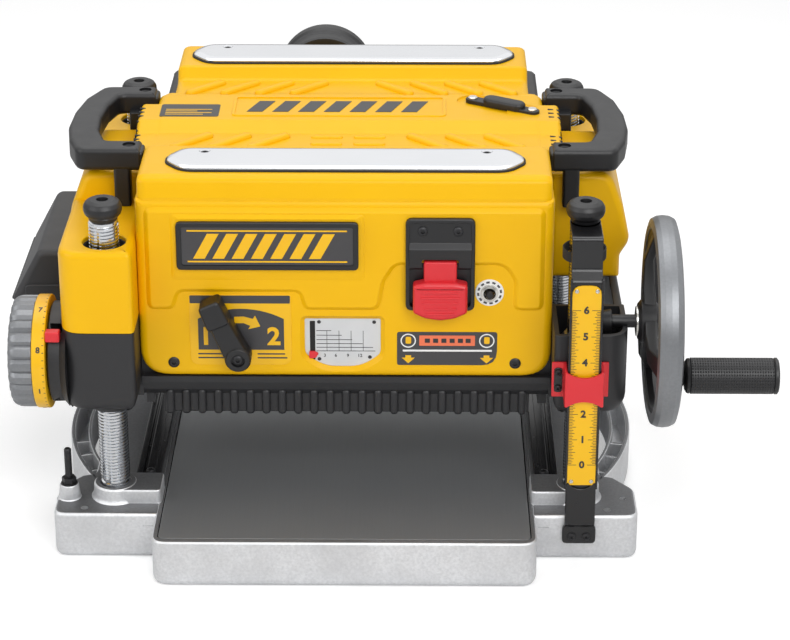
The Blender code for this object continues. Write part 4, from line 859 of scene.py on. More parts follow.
# ---- scale, pointer --------------------------------------------------------------------------
def make_scale():
    """The inch scale on its bent strap, with its ticks, numbers and rivets."""
    x, (front, back), (low, top) = spans("scale_bracket")
    plate_x, (face, seat), (plate_low, plate_top) = spans("depth_scale")
    middle = sum(x) / 2
    foot_y = front + 8.7
    profile = [
        (foot_y, low, 0.8), (foot_y, low + 17, 4), (front + 3, low + 24, 4), (front + 3, top - 40, 6),
        (front + 11, top - 31, 6), (front + 11, top - 3, 3), (back - 13.7, top - 3), (back - 13.7, top),
        (front + 8, top, 4), (front + 8, top - 30, 6), (front, top - 39, 6), (front, low + 22, 6),
        (foot_y - 3, low + 16, 5), (foot_y - 3, low, 1),
    ]
    strip = slab("X", fillet(profile), x, 0.9, 0.9, 2)
    washer = turned("Z", (middle, -POST_Y), rod(top - 3, top, 13.7))
    ears = slab(
        "Y", oblong((x[0] - 1.5, x[1] + 1.5), (low - 1, low + 17), 4), (foot_y - 0.2, foot_y - 3.6), 1
    )
    scoop = arc((middle, plate_low + 4), 13.9, 180, 360, 12)
    shoe = [(x[0] + 0.4, low + 23), (x[1] - 0.4, low + 23), (x[1] - 0.4, plate_low - 1)]
    shoe += [(u, max(v + 6, plate_low - 7)) for u, v in reversed(scoop[2:-2])]
    shoe.append((x[0] + 0.4, plate_low - 1))
    shoe = slab("Y", shoe, (front + 0.5, front - 2.2), 0.9)
    height = (plate_low - 4, plate_top + 6)
    edges = [slab("Y", oblong((u - 1, u + 1), height, 0.8), (front + 1, front - 2.3), 0.6) for u in x]
    piece("scale_strap", "base", BLACK_ENAMEL, strip, washer, ears, shoe, *edges, replaces=["scale_bracket"])
    heads = [
        screw("Y", (middle + side * 6.6, low + 6.5), foot_y - 3.2, foot_y - 5.6, 3.8) for side in (-1, 1)
    ]
    piece("scale_strap_screws", "base", BLACK_OXIDE, *heads)

    outline = [
        (plate_x[0] + 0.9, plate_low, 3), (plate_x[1] - 0.9, plate_low, 3),
        (plate_x[1] - 0.9, plate_top, 9), (plate_x[0] + 0.9, plate_top, 9),
    ]
    plate = slab("Y", fillet(outline), (seat, face), (0.4, 0.3), 0.0, 2)
    piece("inch_scale_plate", "base", YELLOW_INK, plate, replaces=["depth_scale"])
    zero, inch = plate_low + 20.6, 25.4
    lengths = {0: 7.5, 8: 6.2, 4: 5.0, 12: 5.0}
    ticks = []
    for sixteenth in range(6 * 16 + 1):
        size = lengths.get(sixteenth % 16, 4.0 if sixteenth % 2 == 0 else 3.0)
        height = zero + sixteenth * inch / 16
        for side in (-1, 1):
            end = middle + side * (plate_x[1] - middle - 1.4)
            ticks.append(
                slab(
                    "Y", oblong(sorted((end, end - side * size)), (height - 0.24, height + 0.24)),
                    (face + 0.1, face - 0.12),
                ),
            )
    for side in (-1, 1):
        edge = middle + side * (plate_x[1] - middle - 1.3)
        ticks.append(
            slab(
                "Y", oblong((edge - 0.15, edge + 0.15), (zero, zero + 6 * inch)), (face + 0.1, face - 0.12)
            ),
        )
    piece("inch_scale_ticks", "base", BLACK_INK, *ticks)
    numbers = [lettering(str(n), 9.5, (middle, face - 0.1, zero + n * inch), 0.3, 0.35) for n in range(7)]
    piece("inch_scale_numbers", "base", BLACK_INK, *numbers)
    rivets = []
    for height in (plate_low + 4, plate_top - 5):
        rivets += [screw("Y", (middle + side * 9, height), face + 0.2, face - 1.2, 1.9) for side in (-1, 1)]
    piece("inch_scale_rivets", "base", NICKEL, *rivets)


def make_pointer():
    """The red clip round the scale, waisted over the plate so that the marks show above and below."""
    (left, right), (front, back), (low, top) = spans("scale_pointer")
    middle = sum(spans("scale_bracket")[0]) / 2
    inner, outer = 14.9, 17.4
    profile = [
        (left, back, 0.6), (middle - inner, back, 0.4), (middle - inner, front + 2.5, 1),
        (middle + inner, front + 2.5, 1), (middle + inner, back, 0.4), (right, back, 0.6),
        (right, back - 2.5, 0.6), (middle + outer, back - 2.5, 1.2), (middle + outer, front, 1.6),
        (middle - outer, front, 1.6), (middle - outer, back - 2.5, 1.2), (left, back - 2.5, 0.6),
    ]
    clip = slab("Z", fillet(profile, steps=2), (low, top), 0.8, 0.8, 2)
    waists = []
    for way, end in ((1, top), (-1, low)):
        radius = 25
        centre = (middle, end + way * (radius - 5.5))
        waists.append(turned("Y", centre, rod(front - 3, front + 5, radius), 64))
    cut(clip, *waists)
    piece("red_pointer", "head", RED_ABS, clip, replaces=["scale_pointer"])
    pad = slab("Y", oblong((left + 2, left + 9.5), (low + 5, top - 5), 3), (back - 2.4, back - 3.6), 0.5)
    heads = [
        screw("Y", (left + 5.7, height), back - 3.4, back - 5.8, 3.1) for height in (low + 9.5, top - 9.5)
    ]
    piece("red_pointer_plate", "head", BLACK_ENAMEL, pad)
    piece("red_pointer_screws", "head", BLACK_OXIDE, *heads)


# ---- hand wheel, turret ----------------------------------------------------------------------
def make_wheel():
    """The hand wheel: a silver rim on a black three-armed spider, with a web and a pin for the grip."""
    x = spans("hand_wheel")[0]
    hub_x = 263
    grip_x, grip_y, grip_z = spans("crank_grip")
    rim_x, radius = (grip_x[0] - 26.5, grip_x[0] - 3.5), 95.5
    rim = [
        (rim_x[0] + 1, radius - 12.5), (rim_x[0], radius - 8), (rim_x[0] + 1.5, radius - 3),
        (rim_x[0] + 6, radius - 0.7), (rim_x[0] + 11.5, radius), (rim_x[1] - 6, radius - 0.7),
        (rim_x[1] - 1.5, radius - 3), (rim_x[1], radius - 8), (rim_x[1] - 1, radius - 12.5),
    ]
    piece("wheel_rim", "wheel", SILVER_PAINT, turned("X", WHEEL, fillet(rim, 1.2, True, 3), 96, True))
    band = [
        (rim_x[0] + 1.6, radius - 11), (rim_x[0] + 3, radius - 17), (rim_x[0] + 8, radius - 20),
        (rim_x[1] - 6, radius - 19), (rim_x[1] - 1.6, radius - 11),
    ]
    shapes = [turned("X", WHEEL, fillet(band, 1.5, True, 3), 96, True)]
    hub = [
        (x[0], 0), (x[0], 9), (x[0] + 11.5, 11), (x[0] + 11.5, 6), (hub_x, 6), (hub_x, 16),
        (hub_x + 3, 19.5), (hub_x + 16, 18), (hub_x + 20, 14), (hub_x + 20, 0),
    ]
    shapes.append(turned("X", WHEEL, fillet(hub, 1.2, False, 3), 48))
    for angle in (70, 190, 310):
        way = Vector((math.cos(math.radians(angle)), math.sin(math.radians(angle))))
        side = Vector((-way.y, way.x))
        rows = [
            (10, 11, hub_x + 5, hub_x + 17), (30, 8.5, hub_x + 4, hub_x + 15),
            (55, 8.5, hub_x + 5, hub_x + 14), (radius - 18, 12, rim_x[0] + 3, rim_x[0] + 12),
        ]
        work = bmesh.new()
        rings = []
        for far, half, near_x, far_x in rows:
            flat = Vector(WHEEL) + way * far
            ring = []
            for across, along in fillet(
                [(-half, near_x, 2.5), (half, near_x, 2.5), (half, far_x, 2.5), (-half, far_x, 2.5)],
                steps=3,
            ):
                point = flat + side * across
                ring.append(work.verts.new((along, point.x, point.y)))
            rings.append(ring)
        for first, second in zip(rings, rings[1:]):
            skin(work, first, second)
        work.faces.new(rings[0])
        work.faces.new(rings[-1])
        shapes.append(solid(work))
    grip_centre = (sum(grip_y) / 2, sum(grip_z) / 2)
    out = (Vector(grip_centre) - Vector(WHEEL)).normalized()
    side = Vector((-out.y, out.x)) * 15
    start, end = Vector(grip_centre) - out * 13, Vector(WHEEL) + out * (radius - 6)
    web = [(*(start - side * 0.75), 6), (*(end - side), 3), (*(end + side), 3), (*(start + side * 0.75), 6)]
    shapes.append(slab("X", fillet(web), (rim_x[0] + 4, rim_x[1] - 3), 2, 2))
    boss = [
        (hub_x + 17, 0), (hub_x + 17, 11), (grip_x[0] - 2.5, 10), (grip_x[0] - 0.6, 8),
        (grip_x[0] - 0.6, 4), (grip_x[1] - 4, 4), (grip_x[1] - 4, 0),
    ]
    shapes.append(turned("X", grip_centre, boss, 32))
    piece("wheel_spider", "wheel", BLACK_NYLON, *shapes, replaces=["hand_wheel"])
    cap = turned(
        "X", WHEEL,
        [(hub_x - 0.5, 0), (hub_x - 0.5, 11), (hub_x - 1.5, 13.5), (hub_x + 0.5, 13.5), (hub_x + 1, 0)],
        32,
    )
    piece("wheel_retaining_ring", "wheel", NICKEL, cap)
    make_grip(grip_x, grip_centre)


def make_grip(x, centre):
    """The free-turning crank grip: a sleeve pressed all over with small square dimples."""
    radius, columns, rows = 16.0, 108, 96
    work = bmesh.new()
    profile = [(x[0], 4.3), (x[0], 12.5), (x[0] + 1.5, 15), (x[0] + 3.4, 15.8), (x[0] + 4.6, 15)]
    start, end = x[0] + 5, x[1] - 5
    body = [(start + (end - start) * row / (rows - 1), radius) for row in range(rows)]
    tail = [
        (x[1] - 4.4, 15.2), (x[1] - 3.2, 16.2), (x[1] - 1.2, 16.2), (x[1], 14.6), (x[1], 11),
        (x[1] - 1.5, 10), (x[1] - 1.5, 4.3),
    ]
    rings = []
    for number, (along, size) in enumerate(profile + body + tail):
        row = number - len(profile)
        ring = []
        for column in range(columns):
            angle = 2 * math.pi * column / columns
            dimple = 0 <= row < rows and row % 3 == 1 and column % 3 == 1
            far = size - (0.75 if dimple else 0)
            ring.append(
                work.verts.new(
                    (along, centre[0] + far * math.cos(angle), centre[1] + far * math.sin(angle))
                ),
            )
        rings.append(ring)
    for first, second in zip(rings, rings[1:] + rings[:1]):
        skin(work, first, second)
    piece("knurled_grip", "grip", BLACK_NYLON, solid(work), replaces=["crank_grip"])


def make_turret():
    """The stop turret: a grooved knob and its numbered ring on one shaft."""
    knob_x = spans("stop_turret_knob")[0]
    ring_x = spans("stop_turret_ring")[0]
    radius, grooves = 51, 24
    outline = []
    for number in range(grooves * 8):
        angle = 2 * math.pi * number / (grooves * 8)
        groove = max(0.0, math.cos(grooves * angle)) ** 2
        far = radius - 2.4 * groove
        outline.append((TURRET[0] + far * math.cos(angle), TURRET[1] + far * math.sin(angle)))
    inner = ring_x[0] - 0.3
    outer = knob_x[0]
    knob = slab("X", outline, (inner, outer), (6, 9), 0.8, 5)
    dish = turned(
        "X",
        TURRET,
        fillet(
            [
                (outer + 0.5, 0), (outer - 0.6, 30, 3), (outer - 0.6, 41, 2), (outer + 2, 43.5),
                (outer + 4, 43.5), (outer + 4, 0),
            ],
            1,
            False,
        ),
        64,
    )
    shaft = turned("X", TURRET, rod(inner - 1, knob_x[1], 8), 32)
    piece("grooved_knob", "stop_turret", SILVER_PAINT, knob, dish, shaft, replaces=["stop_turret_knob"])
    ring = [
        (ring_x[0], 8.4), (ring_x[0], 51.4), (ring_x[0] + 0.8, 52), (ring_x[1] - 0.8, 52),
        (ring_x[1], 51.4), (ring_x[1], 8.4),
    ]
    piece(
        "numbered_ring", "stop_turret", YELLOW_INK, turned("X", TURRET, ring, 96, True),
        replaces=["stop_turret_ring"],
    )
    marks = []
    middle = sum(ring_x) / 2
    for number in range(8):
        turn = 45 * number + 20
        back = Matrix.Rotation(math.radians(turn), 4, "X")
        place = Vector((0, TURRET[0], TURRET[1])) + back @ Vector((0, -52, 0)) + Vector((middle, 0, 0))
        marks.append(lettering(str(number + 1), 7.5, place, 0.4, 0.2, back))
    for number in range(48):
        angle = math.radians(7.5 * number)
        way = Vector((math.cos(angle), math.sin(angle)))
        side = Vector((-way.y, way.x)) * 0.3
        tip, root = Vector(TURRET) + way * 52.15, Vector(TURRET) + way * 51.6
        corners = [tuple(root - side), tuple(tip - side), tuple(tip + side), tuple(root + side)]
        marks.append(slab("X", corners, (ring_x[1] - 2.6, ring_x[1] - 0.9)))
    piece("turret_numbers", "stop_turret", BLACK_INK, *marks)
    marker = slab(
        "X", oblong((TURRET[0] - 44, TURRET[0] - 34), (TURRET[1] + 28, TURRET[1] + 38), 2),
        (-267.8, -255), 1.2, 1.2,
    )
    piece("turret_marker", "head", RED_ABS, marker)


make_base()
make_rails()
make_posts()
make_stop_bolt()
make_scale()
make_pointer()
make_wheel()
make_turret()


# ---- head: covers ----------------------------------------------------------------------------
FACE = spans("front_cover")[1][0]
(FRONT_LEFT, FRONT_RIGHT), _, (FRONT_LOW, FRONT_TOP) = spans("front_cover")
GAUGE_WINDOW = fillet(
    [(-37, 219.5, 2), (32, 219.5, 2), (32, 184, 10), (14, 171.5, 40), (-19, 171.5, 40), (-37, 184, 10)],
    steps=5,
)
LEVER = (-96.7, 188.2)
RESET = tuple(sum(spans("reset_button")[axis]) / 2 for axis in (0, 2))


def make_front_panel():
    """The yellow front cover: a rounded shell, a plateau arched over the switch, the boss of the badge."""
    back = spans("front_cover")[1][1]
    outline = [
        (FRONT_LEFT, FRONT_LOW, 28), (FRONT_RIGHT, FRONT_LOW, 28), (FRONT_RIGHT, FRONT_TOP, 3),
        (FRONT_LEFT, FRONT_TOP, 3),
    ]
    shell = slab("Y", fillet(outline, steps=8), (back, FACE), (8, 6), 0.6, 5)
    hollow = [
        (FRONT_LEFT + 5, FRONT_LOW + 5, 24), (FRONT_RIGHT - 5, FRONT_LOW + 5, 24),
        (FRONT_RIGHT - 5, FRONT_TOP - 5, 3), (FRONT_LEFT + 5, FRONT_TOP - 5, 3),
    ]
    cut(shell, slab("Y", fillet(hollow, steps=8), (FACE + 7, back + 3)))
    wide = inset(GAUGE_WINDOW, -4.5)
    window = loft(
        "Y", [(GAUGE_WINDOW, FACE + 9), (GAUGE_WINDOW, FACE + 3.4), (wide, FACE - 0.4), (wide, FACE - 6)]
    )
    bores = [turned("Y", RESET, rod(FACE - 9, FACE + 9, 4.6), 24)]
    bores.append(turned("Y", LEVER, rod(FACE - 9, FACE + 9, 6.4), 24))
    cut(shell, merged(window, *bores))
    side, foot_z, step_z, arch_z = 179, 229.5, 247, 274
    plateau = [
        (-side, foot_z, 8), (-155, foot_z, 8), (-149, step_z, 6), (-42, step_z, 6), (-37, foot_z, 8),
        (31, foot_z, 10), (36, 258, 16), (46, arch_z, 10), (143, arch_z, 16), (152, 258, 14),
        (151, foot_z, 8), (side, foot_z, 8), (side, 329, 8), (-side, 329, 8),
    ]
    plateau = fillet(plateau, steps=5)
    rings = [
        (plateau, FACE + 2), (plateau, FACE), (inset(plateau, 3.4), FACE - 3.0),
        (inset(plateau, 4.8), FACE - 3.6),
    ]
    shelf = loft("Y", rings)
    foot = oblong((-156, 18.5), (258.5, 324), 4)
    brow = oblong((-150.8, 13.3), (271, 320.5), 4)
    boss = loft("Y", [(foot, FACE), (foot, FACE - 3.2), (brow, FACE - 6.4)])
    piece("front_panel", "head", YELLOW_ABS, shell, shelf, boss, replaces=["front_cover"])
    heads = [screw("Y", (x, 176.8), FACE + 0.6, FACE - 1.6, 5.2) for x in (-156.4, 154.3)]
    piece("front_panel_screws", "head", BLACK_OXIDE, *heads)


def slanted(low, high, starts, width, lean):
    """A row of leaning bars, as outlines."""
    return [[(x, low), (x + width, low), (x + width + lean, high), (x + lean, high)] for x in starts]


def make_badge():
    """A plain dark plate in a raised frame, with a row of slanted bars as its only decoration."""
    (left, right), _, (low, top) = spans("badge_plate")
    seat, rim = FACE - 6, FACE - 10
    plate = slab("Y", oblong((left, right), (low, top), 4.5), (seat, rim), (1.4, 1.2))
    cut(
        plate,
        slab("Y", oblong((left + 4.5, right - 4.5), (low + 4.5, top - 4.5), 2.5), (rim + 1.3, rim - 3)),
    )
    piece("badge_frame", "head", BLACK_NYLON, plate, replaces=["badge_plate"])
    field = slab(
        "Y", oblong((left + 4.7, right - 4.7), (low + 4.7, top - 4.7), 2.3), (rim + 1.6, rim + 1.1)
    )
    piece("badge_field", "head", GREY_INK, field)
    starts = [left + 15 + 17.2 * number for number in range(7)]
    bars = [
        slab("Y", bar, (rim + 1.3, rim + 0.8), 0.12)
        for bar in slanted(low + 11, top - 11, starts, 10.5, 13)
    ]
    bars += [
        slab("Y", oblong((left + 10, right - 10), (z - 0.7, z + 0.7)), (rim + 1.3, rim + 0.8))
        for z in (low + 8.2, top - 8.2)
    ]
    piece("badge_bars", "head", YELLOW_INK, *bars)


def make_speed_plate():
    """The speed plate: a printed dial with an arrow from one speed to the other."""
    (left, right), _, (low, top) = spans("speed_plate")
    outline = fillet([(left, low, 9), (right, low, 9), (right, top, 2), (left, top, 2)])
    film = slab("Y", outline, (FACE + 0.2, FACE - 0.55), 0.2)
    cut(film, turned("Y", LEVER, rod(FACE - 4, FACE + 4, 6.4), 24))
    piece("speed_film", "head", YELLOW_INK, film, replaces=["speed_plate"])
    middle, side_z, crown = (left + right) / 2 + 0.5, 220.5, 230.5
    half = 38.9
    radius = (half**2 + (crown - side_z) ** 2) / (2 * (crown - side_z))
    open_angle = math.degrees(math.asin(half / radius))
    dial = [(middle - half, 189.8), (middle + half, 189.8)] + arc(
        (middle, crown - radius), radius, 90 - open_angle, 90 + open_angle, 14
    )
    dark = [
        slab("Y", dial, (FACE - 0.4, FACE - 0.75)),
        slab("Y", oblong((left + 0.6, right - 0.8), (235.9, top - 0.6), 1.2), (FACE - 0.4, FACE - 0.75)),
    ]
    for start, size in ((left + 7, 22), (right - 31, 25)):
        dark.append(
            slab("Y", oblong((start, start + size), (low + 10.3, low + 11.6)), (FACE - 0.4, FACE - 0.75))
        )
        dark.append(
            slab("Y", oblong((start, start + size + 2), (low + 6.4, low + 7.7)), (FACE - 0.4, FACE - 0.75))
        )
    piece("speed_dial", "head", GREY_INK, *dark)
    arrow = [
        (-100.5, 222.6), (-92, 223), (-83.5, 220.6), (-81.6, 224), (-77, 213.2), (-88, 210.4),
        (-86, 213.8), (-92, 216.4), (-100.5, 216.4),
    ]
    marks = [slab("Y", arrow, (FACE - 0.6, FACE - 0.95))]
    marks += [
        lettering(text, 24, (x, FACE - 0.8, 202.5), 0.35, 0.75) for text, x in (("1", -126.6), ("2", -64.9))
    ]
    piece("speed_marks", "head", YELLOW_INK, *marks)


def make_speed_lever():
    """The speed lever, turned on its pivot to stand between the speeds."""
    front, back = spans("speed_lever")[1][0], FACE - 1.6
    tilt = math.radians(24)

    def leaning(outline):
        """The outline turned by the lever's tilt and set on its pivot."""
        run, rise = math.cos(tilt), math.sin(tilt)
        return [(LEVER[0] + u * run - v * rise, LEVER[1] + u * rise + v * run) for u, v in outline]

    hub = [
        (back, 0), (back, 11), (back - 3, 12), (front + 4, 12), (front + 1.4, 10.5), (front + 1, 6.2),
        (front + 4, 5.8), (front + 4, 0),
    ]
    shapes = [turned("Y", LEVER, fillet(hub, 0.8, False, 2))]
    arm = leaning(fillet([(-12, -3, 5), (11.5, -3, 5), (8, 52, 4), (-10.5, 52, 4)]))
    shapes.append(slab("Y", arm, (back - 2, front + 3), (3, 6)))
    head = leaning(fillet([(-12.5, 36, 4), (9.5, 36, 4), (9, 61, 4), (-11, 61, 4)]))
    shapes.append(slab("Y", head, (back - 1, front - 1), (3, 3), 2))
    shapes.append(turned("Y", LEVER, [(back + 1, 0), (back - 1, 6), (FACE + 20, 6), (FACE + 20, 0)], 24))
    piece("speed_selector", "speed_control", BLACK_NYLON, *shapes, replaces=["speed_lever"])
    piece(
        "speed_selector_screw", "speed_control", BLACK_OXIDE,
        screw("Y", LEVER, front + 4.4, front + 1.6, 4.8),
    )


def make_gauge():
    """The silver depth-of-cut plate behind its window, ruled with steps, and its red-tipped slide."""
    seat = FACE + 4.4
    plate = slab("Y", inset(GAUGE_WINDOW, -3), (seat + 1, seat), 0.2)
    piece("gauge_film", "head", SILVER_FILM, plate, replaces=["gauge_plate"])
    low, high = 186.6, 206.9
    lines = []
    for number, height in enumerate((high, 202.3, 197.9, 193.9, 190.2, low)):
        end = min(-13 + number * 9.5, 27)
        lines.append(
            slab("Y", oblong((-26.5, end), (height - 0.28, height + 0.28)), (seat + 0.1, seat - 0.15))
        )
    for x in (-17, -6, 5, 16):
        lines.append(slab("Y", oblong((x - 0.22, x + 0.22), (low, high)), (seat + 0.1, seat - 0.12)))
    for number, x in enumerate((-19, -9, 2, 13)):
        lines.append(lettering(str(3 * number + 3), 4.4, (x, seat - 0.1, 182.0), 0.15, 0.06))
    for x, z in ((-24, 215.5), (26, 215.5), (22, 180.5), (-24, 178.5)):
        lines.append(
            turned(
                "Y", (x, z), [(seat + 0.2, 0), (seat + 0.2, 1.9), (seat - 0.5, 1.5), (seat - 0.5, 0)], 16
            ),
        )
    piece("gauge_rulings", "head", BLACK_INK, *lines)
    # The slide's slot is a flat black strip: painted shade inside the slot.
    slot = slab("Y", oblong((-32.4, -27.6), (178, 216.6), 0.6), (seat + 0.3, seat - 0.1))
    piece("gauge_slot_painted_shade", "head", PAINTED_SHADOW_BLACK, slot)
    tip = fillet(
        [(-33.2, 179.5, 1), (-33.2, 186.8, 1), (-28, 186.8, 1), (-24.6, 184.6, 0.6), (-27, 180.5, 1)],
        steps=2,
    )
    piece(
        "gauge_tip", "removal_pointer", RED_ABS, slab("Y", tip, (seat - 0.4, seat - 2.2), 0.4),
        replaces=["gauge_pointer"],
    )


def make_hand_label():
    """A dark label with an orange panel, two ringed signs and two arrows: shapes only, no wording."""
    label = fillet([(46.8, 174.9, 2), (137.6, 174.9, 14), (137.6, 208, 2.5), (46.8, 208, 2.5)])
    piece("hand_label", "head", GREY_INK, slab("Y", label, (FACE + 0.1, FACE - 0.4), 0.1))
    panel = slab("Y", oblong((67, 117.5), (194.4, 204.6), 0.8), (FACE - 0.3, FACE - 0.6))
    piece("hand_label_panel", "head", ORANGE_INK, panel)
    bars = [
        slab("Y", oblong((x, x + 4.6), (197.4, 201.6), 0.3), (FACE - 0.5, FACE - 0.75))
        for x in (72, 79.5, 87, 94.5, 102, 109)
    ]
    piece("hand_label_dashes", "head", BLACK_INK, *bars)
    rings = []
    signs = []
    for x in (57, 128.2):
        rings.append(
            turned(
                "Y", (x, 199.4), [(FACE - 0.3, 5.9), (FACE - 0.6, 5.9), (FACE - 0.6, 7), (FACE - 0.3, 7)],
                32, True,
            ),
        )
        signs.append(slab("Y", oblong((x - 2.4, x + 2.6), (196.4, 203.2), 1.4), (FACE - 0.3, FACE - 0.55)))
        arrow = [
            (x - 2.6, 184.8), (x + 2.6, 184.8), (x + 2.6, 182.4), (x + 6, 182.4), (x, 176.8),
            (x - 6, 182.4), (x - 2.6, 182.4),
        ]
        signs.append(slab("Y", arrow, (FACE - 0.3, FACE - 0.6)))
    rings.append(slab("Y", oblong((52, 133), (188.6, 190.4), 0.4), (FACE - 0.3, FACE - 0.55)))
    piece("hand_label_rings", "head", WHITE_INK, *rings)
    piece("hand_label_signs", "head", YELLOW_INK, *signs)


def make_switch():
    """The switch: a hooded surround and the large red paddle that stops the machine."""
    (left, right), _, (low, top) = spans("switch_housing")
    middle = (left + right) / 2
    surround = slab("Y", oblong((left, right), (low, top), 6), (FACE + 1, FACE - 8), (1.6, 1.6))
    well = slab("Y", oblong((left + 3.4, right - 3.4), (low + 3.4, top - 3.4), 4), (FACE - 2.5, FACE - 12))
    cut(surround, well)
    hood = [
        (FACE - 1, top - 2), (FACE - 6.4, top - 4, 1.5), (FACE - 7.4, top - 23, 2),
        (FACE - 11.8, top - 28, 2), (FACE - 8.6, top - 47, 2), (FACE - 4, top - 50, 1),
        (FACE - 1, top - 50),
    ]
    ridge = slab("X", fillet(hood, steps=3), (left + 3, right - 3), 0.8, 0.8, 2)
    notch = slab(
        "Y", oblong((middle - 16.4, middle + 16.4), (top - 56, top - 38), 2), (FACE - 3, FACE - 14)
    )
    cut(ridge, notch)
    piece("switch_surround", "head", BLACK_NYLON, surround, ridge, replaces=["switch_housing"])
    heads = [screw("Y", (middle + side * 15.8, top - 12), FACE - 6.4, FACE - 8.6, 4.4) for side in (-1, 1)]
    piece("switch_screws", "head", BLACK_OXIDE, *heads)
    low_edge = low - 5.4
    body = [
        (middle - 24.4, low + 28.6, 3), (middle - 24.4, low + 1.4, 4), (middle - 13, low_edge + 1.6, 14),
        (middle, low_edge - 0.4, 20), (middle + 13, low_edge + 1.6, 14), (middle + 24.4, low + 1.4, 4),
        (middle + 24.4, low + 28.6, 3), (middle + 14, low + 31, 8), (middle - 14, low + 31, 8),
    ]
    shapes = [slab("Y", fillet(body), (FACE - 5, FACE - 18.6), (4, 4), 1.5, 4)]
    shapes.append(
        slab(
            "Y", oblong((middle - 14.8, middle + 14.8), (low + 24, low + 49.4), 2),
            (FACE - 3.8, FACE - 12.6), (2, 2),
        ),
    )
    for number in range(5):
        height = low + 1.6 + number * 5.2
        shapes.append(
            slab(
                "Y", capsule((middle, height), 36 - 3 * abs(number - 3), 1.8), (FACE - 17.5, FACE - 19.5),
                0.6,
            ),
        )
    piece("red_paddle", "power_switch", RED_ABS, *shapes, replaces=["switch_paddle"])


def make_reset():
    """The breaker's button in a white printed washer."""
    disc = [(FACE, 4.6), (FACE - 0.9, 4.6), (FACE - 0.9, 12.4), (FACE - 0.4, 13), (FACE, 13)]
    piece(
        "breaker_washer", "head", WHITE_INK, turned("Y", RESET, disc, 64, True), replaces=["reset_collar"]
    )
    marks = []
    for start in range(0, 360, 30):
        band = arc(RESET, 11.2, start, start + 17, 4) + arc(RESET, 9.4, start + 17, start, 4)
        marks.append(slab("Y", band, (FACE - 0.8, FACE - 1.05)))
    piece("breaker_marks", "head", GREY_INK, *marks)
    nut = [(FACE - 0.5, 4.7), (FACE - 3.4, 4.7), (FACE - 4, 5.6), (FACE - 3.4, 7.6), (FACE - 0.5, 8)]
    piece("breaker_nut", "head", NICKEL, turned("Y", RESET, nut, 32, True))
    front, back = spans("reset_button")[1]
    plunger = [(back, 0), (back, 3.6), (front + 1.5, 3.8), (front + 0.3, 3), (front, 1.6), (front, 0)]
    piece(
        "breaker_plunger", "breaker_button", BLACK_NYLON, turned("Y", RESET, plunger, 32),
        replaces=["reset_button"],
    )


DECK = spans("top_cover")[2][1]
FIELD = DECK - 12
BAND = DECK - 4


def make_top_panel():
    """The yellow top: decks under the bars, a raised band between them, and slanted stiffening ribs."""
    half, deep = 185, DECK - 29
    main = [
        (-148, deep), (-148, 337, 3), (-144.5, DECK - 4, 6), (-138, DECK, 5), (-66, DECK, 6),
        (-52, FIELD, 10), (-2, FIELD, 8), (14, BAND, 8), (86, BAND, 8), (98, FIELD, 8), (112, FIELD),
        (112, deep),
    ]
    shapes = [slab("X", fillet(main), (-half, half), (5, 9), (5, 9), 4)]
    rear = [
        (111.6, deep), (111.6, FIELD), (150, FIELD, 8), (160, DECK, 6), (223, DECK, 8),
        (230, DECK - 5, 5), (232, 336), (232, deep),
    ]
    shapes.append(slab("X", fillet(rear), (-174, 174), (5, 8), (5, 8), 4))
    seat = capsule((146, 53), 96, 33, -31, 10)
    cut(shapes[0], slab("Z", seat, (BAND - 2, BAND + 5), 0.0, 1.5, 2))
    # The band runs out past the deck at both sides, a hair lower than the deck itself.
    band = [
        (-46, 338), (-46, FIELD - 0.4, 2), (-2, FIELD - 0.4, 8), (14, BAND - 0.4, 8), (60, BAND - 0.4, 3),
        (60, 338),
    ]
    shapes += [slab("X", fillet(band), (side * 150, side * 200), (4, 4), 0, 3) for side in (-1, 1)]
    ribs = []
    for sx in (-1, 1):
        for x in (74, 110, 146):
            ribs.append(
                slab(
                    "Z", capsule((sx * x, -26), 52, 10.5, -sx * 45, 6), (FIELD - 3, FIELD + 3.8), (3.6, 3.4)
                ),
            )
        for x in (42, 76, 110, 144):
            ribs.append(
                slab(
                    "Z", capsule((sx * x, 125), 50, 10.5, -sx * 45, 6), (FIELD - 3, FIELD + 3.8), (3.6, 3.4)
                ),
            )
        for y in (-30, -12):
            ribs.append(slab("Z", capsule((sx * 20, y), 30, 6, 0, 6), (FIELD - 3, FIELD + 1.6), (1.8, 1.6)))
    frame_outline = oblong((-112, 92), (24, 78), 6)
    rim = slab("Z", frame_outline, (BAND - 1, BAND + 1.1), 0.8)
    cut(rim, slab("Z", inset(frame_outline, 3), (BAND - 3, BAND + 4)))
    piece("top_panel", "head", YELLOW_ABS, *shapes, *ribs, rim, replaces=["top_cover"])
    starts = [-98 + 24.5 * number for number in range(7)]
    bars = [slab("Z", bar, (BAND - 0.5, BAND + 0.35)) for bar in slanted(36, 66, starts, 15, 11)]
    piece("top_bars", "head", BLACK_INK, *bars)
    label = slab("Z", oblong((-180, -124), (22, 56), 3), (BAND - 0.5, BAND + 0.3), 0.1)
    piece("top_label", "head", BLACK_INK, label)
    lines = [
        slab("Z", oblong((-175, -175 + size), (y, y + 1.5)), (BAND, BAND + 0.45))
        for y, size in ((27, 36), (31.5, 44), (36, 30), (40.5, 44))
    ]
    piece("top_label_rules", "head", YELLOW_INK, *lines)
    # The side louvres are black slabs: painted shadow in the vents' openings.
    slots = []
    for sx in (-1, 1):
        for number in range(9):
            y = -40 + number * 10.5
            top = (FIELD if y < 0 else min(FIELD + y * 0.5, BAND)) + 0.15
            x = sorted((sx * 189, sx * 200.25))
            slots.append(
                slab(
                    "Y", fillet([(x[0], 341), (x[1], 341), (x[1], top - 1.2, 1), (x[0], top)], steps=2),
                    (y, y + 3.4), 0.3, 0.3, 1,
                ),
            )
    piece("band_louvre_painted_shadows", "head", PAINTED_SHADOW_BLACK, *slots)


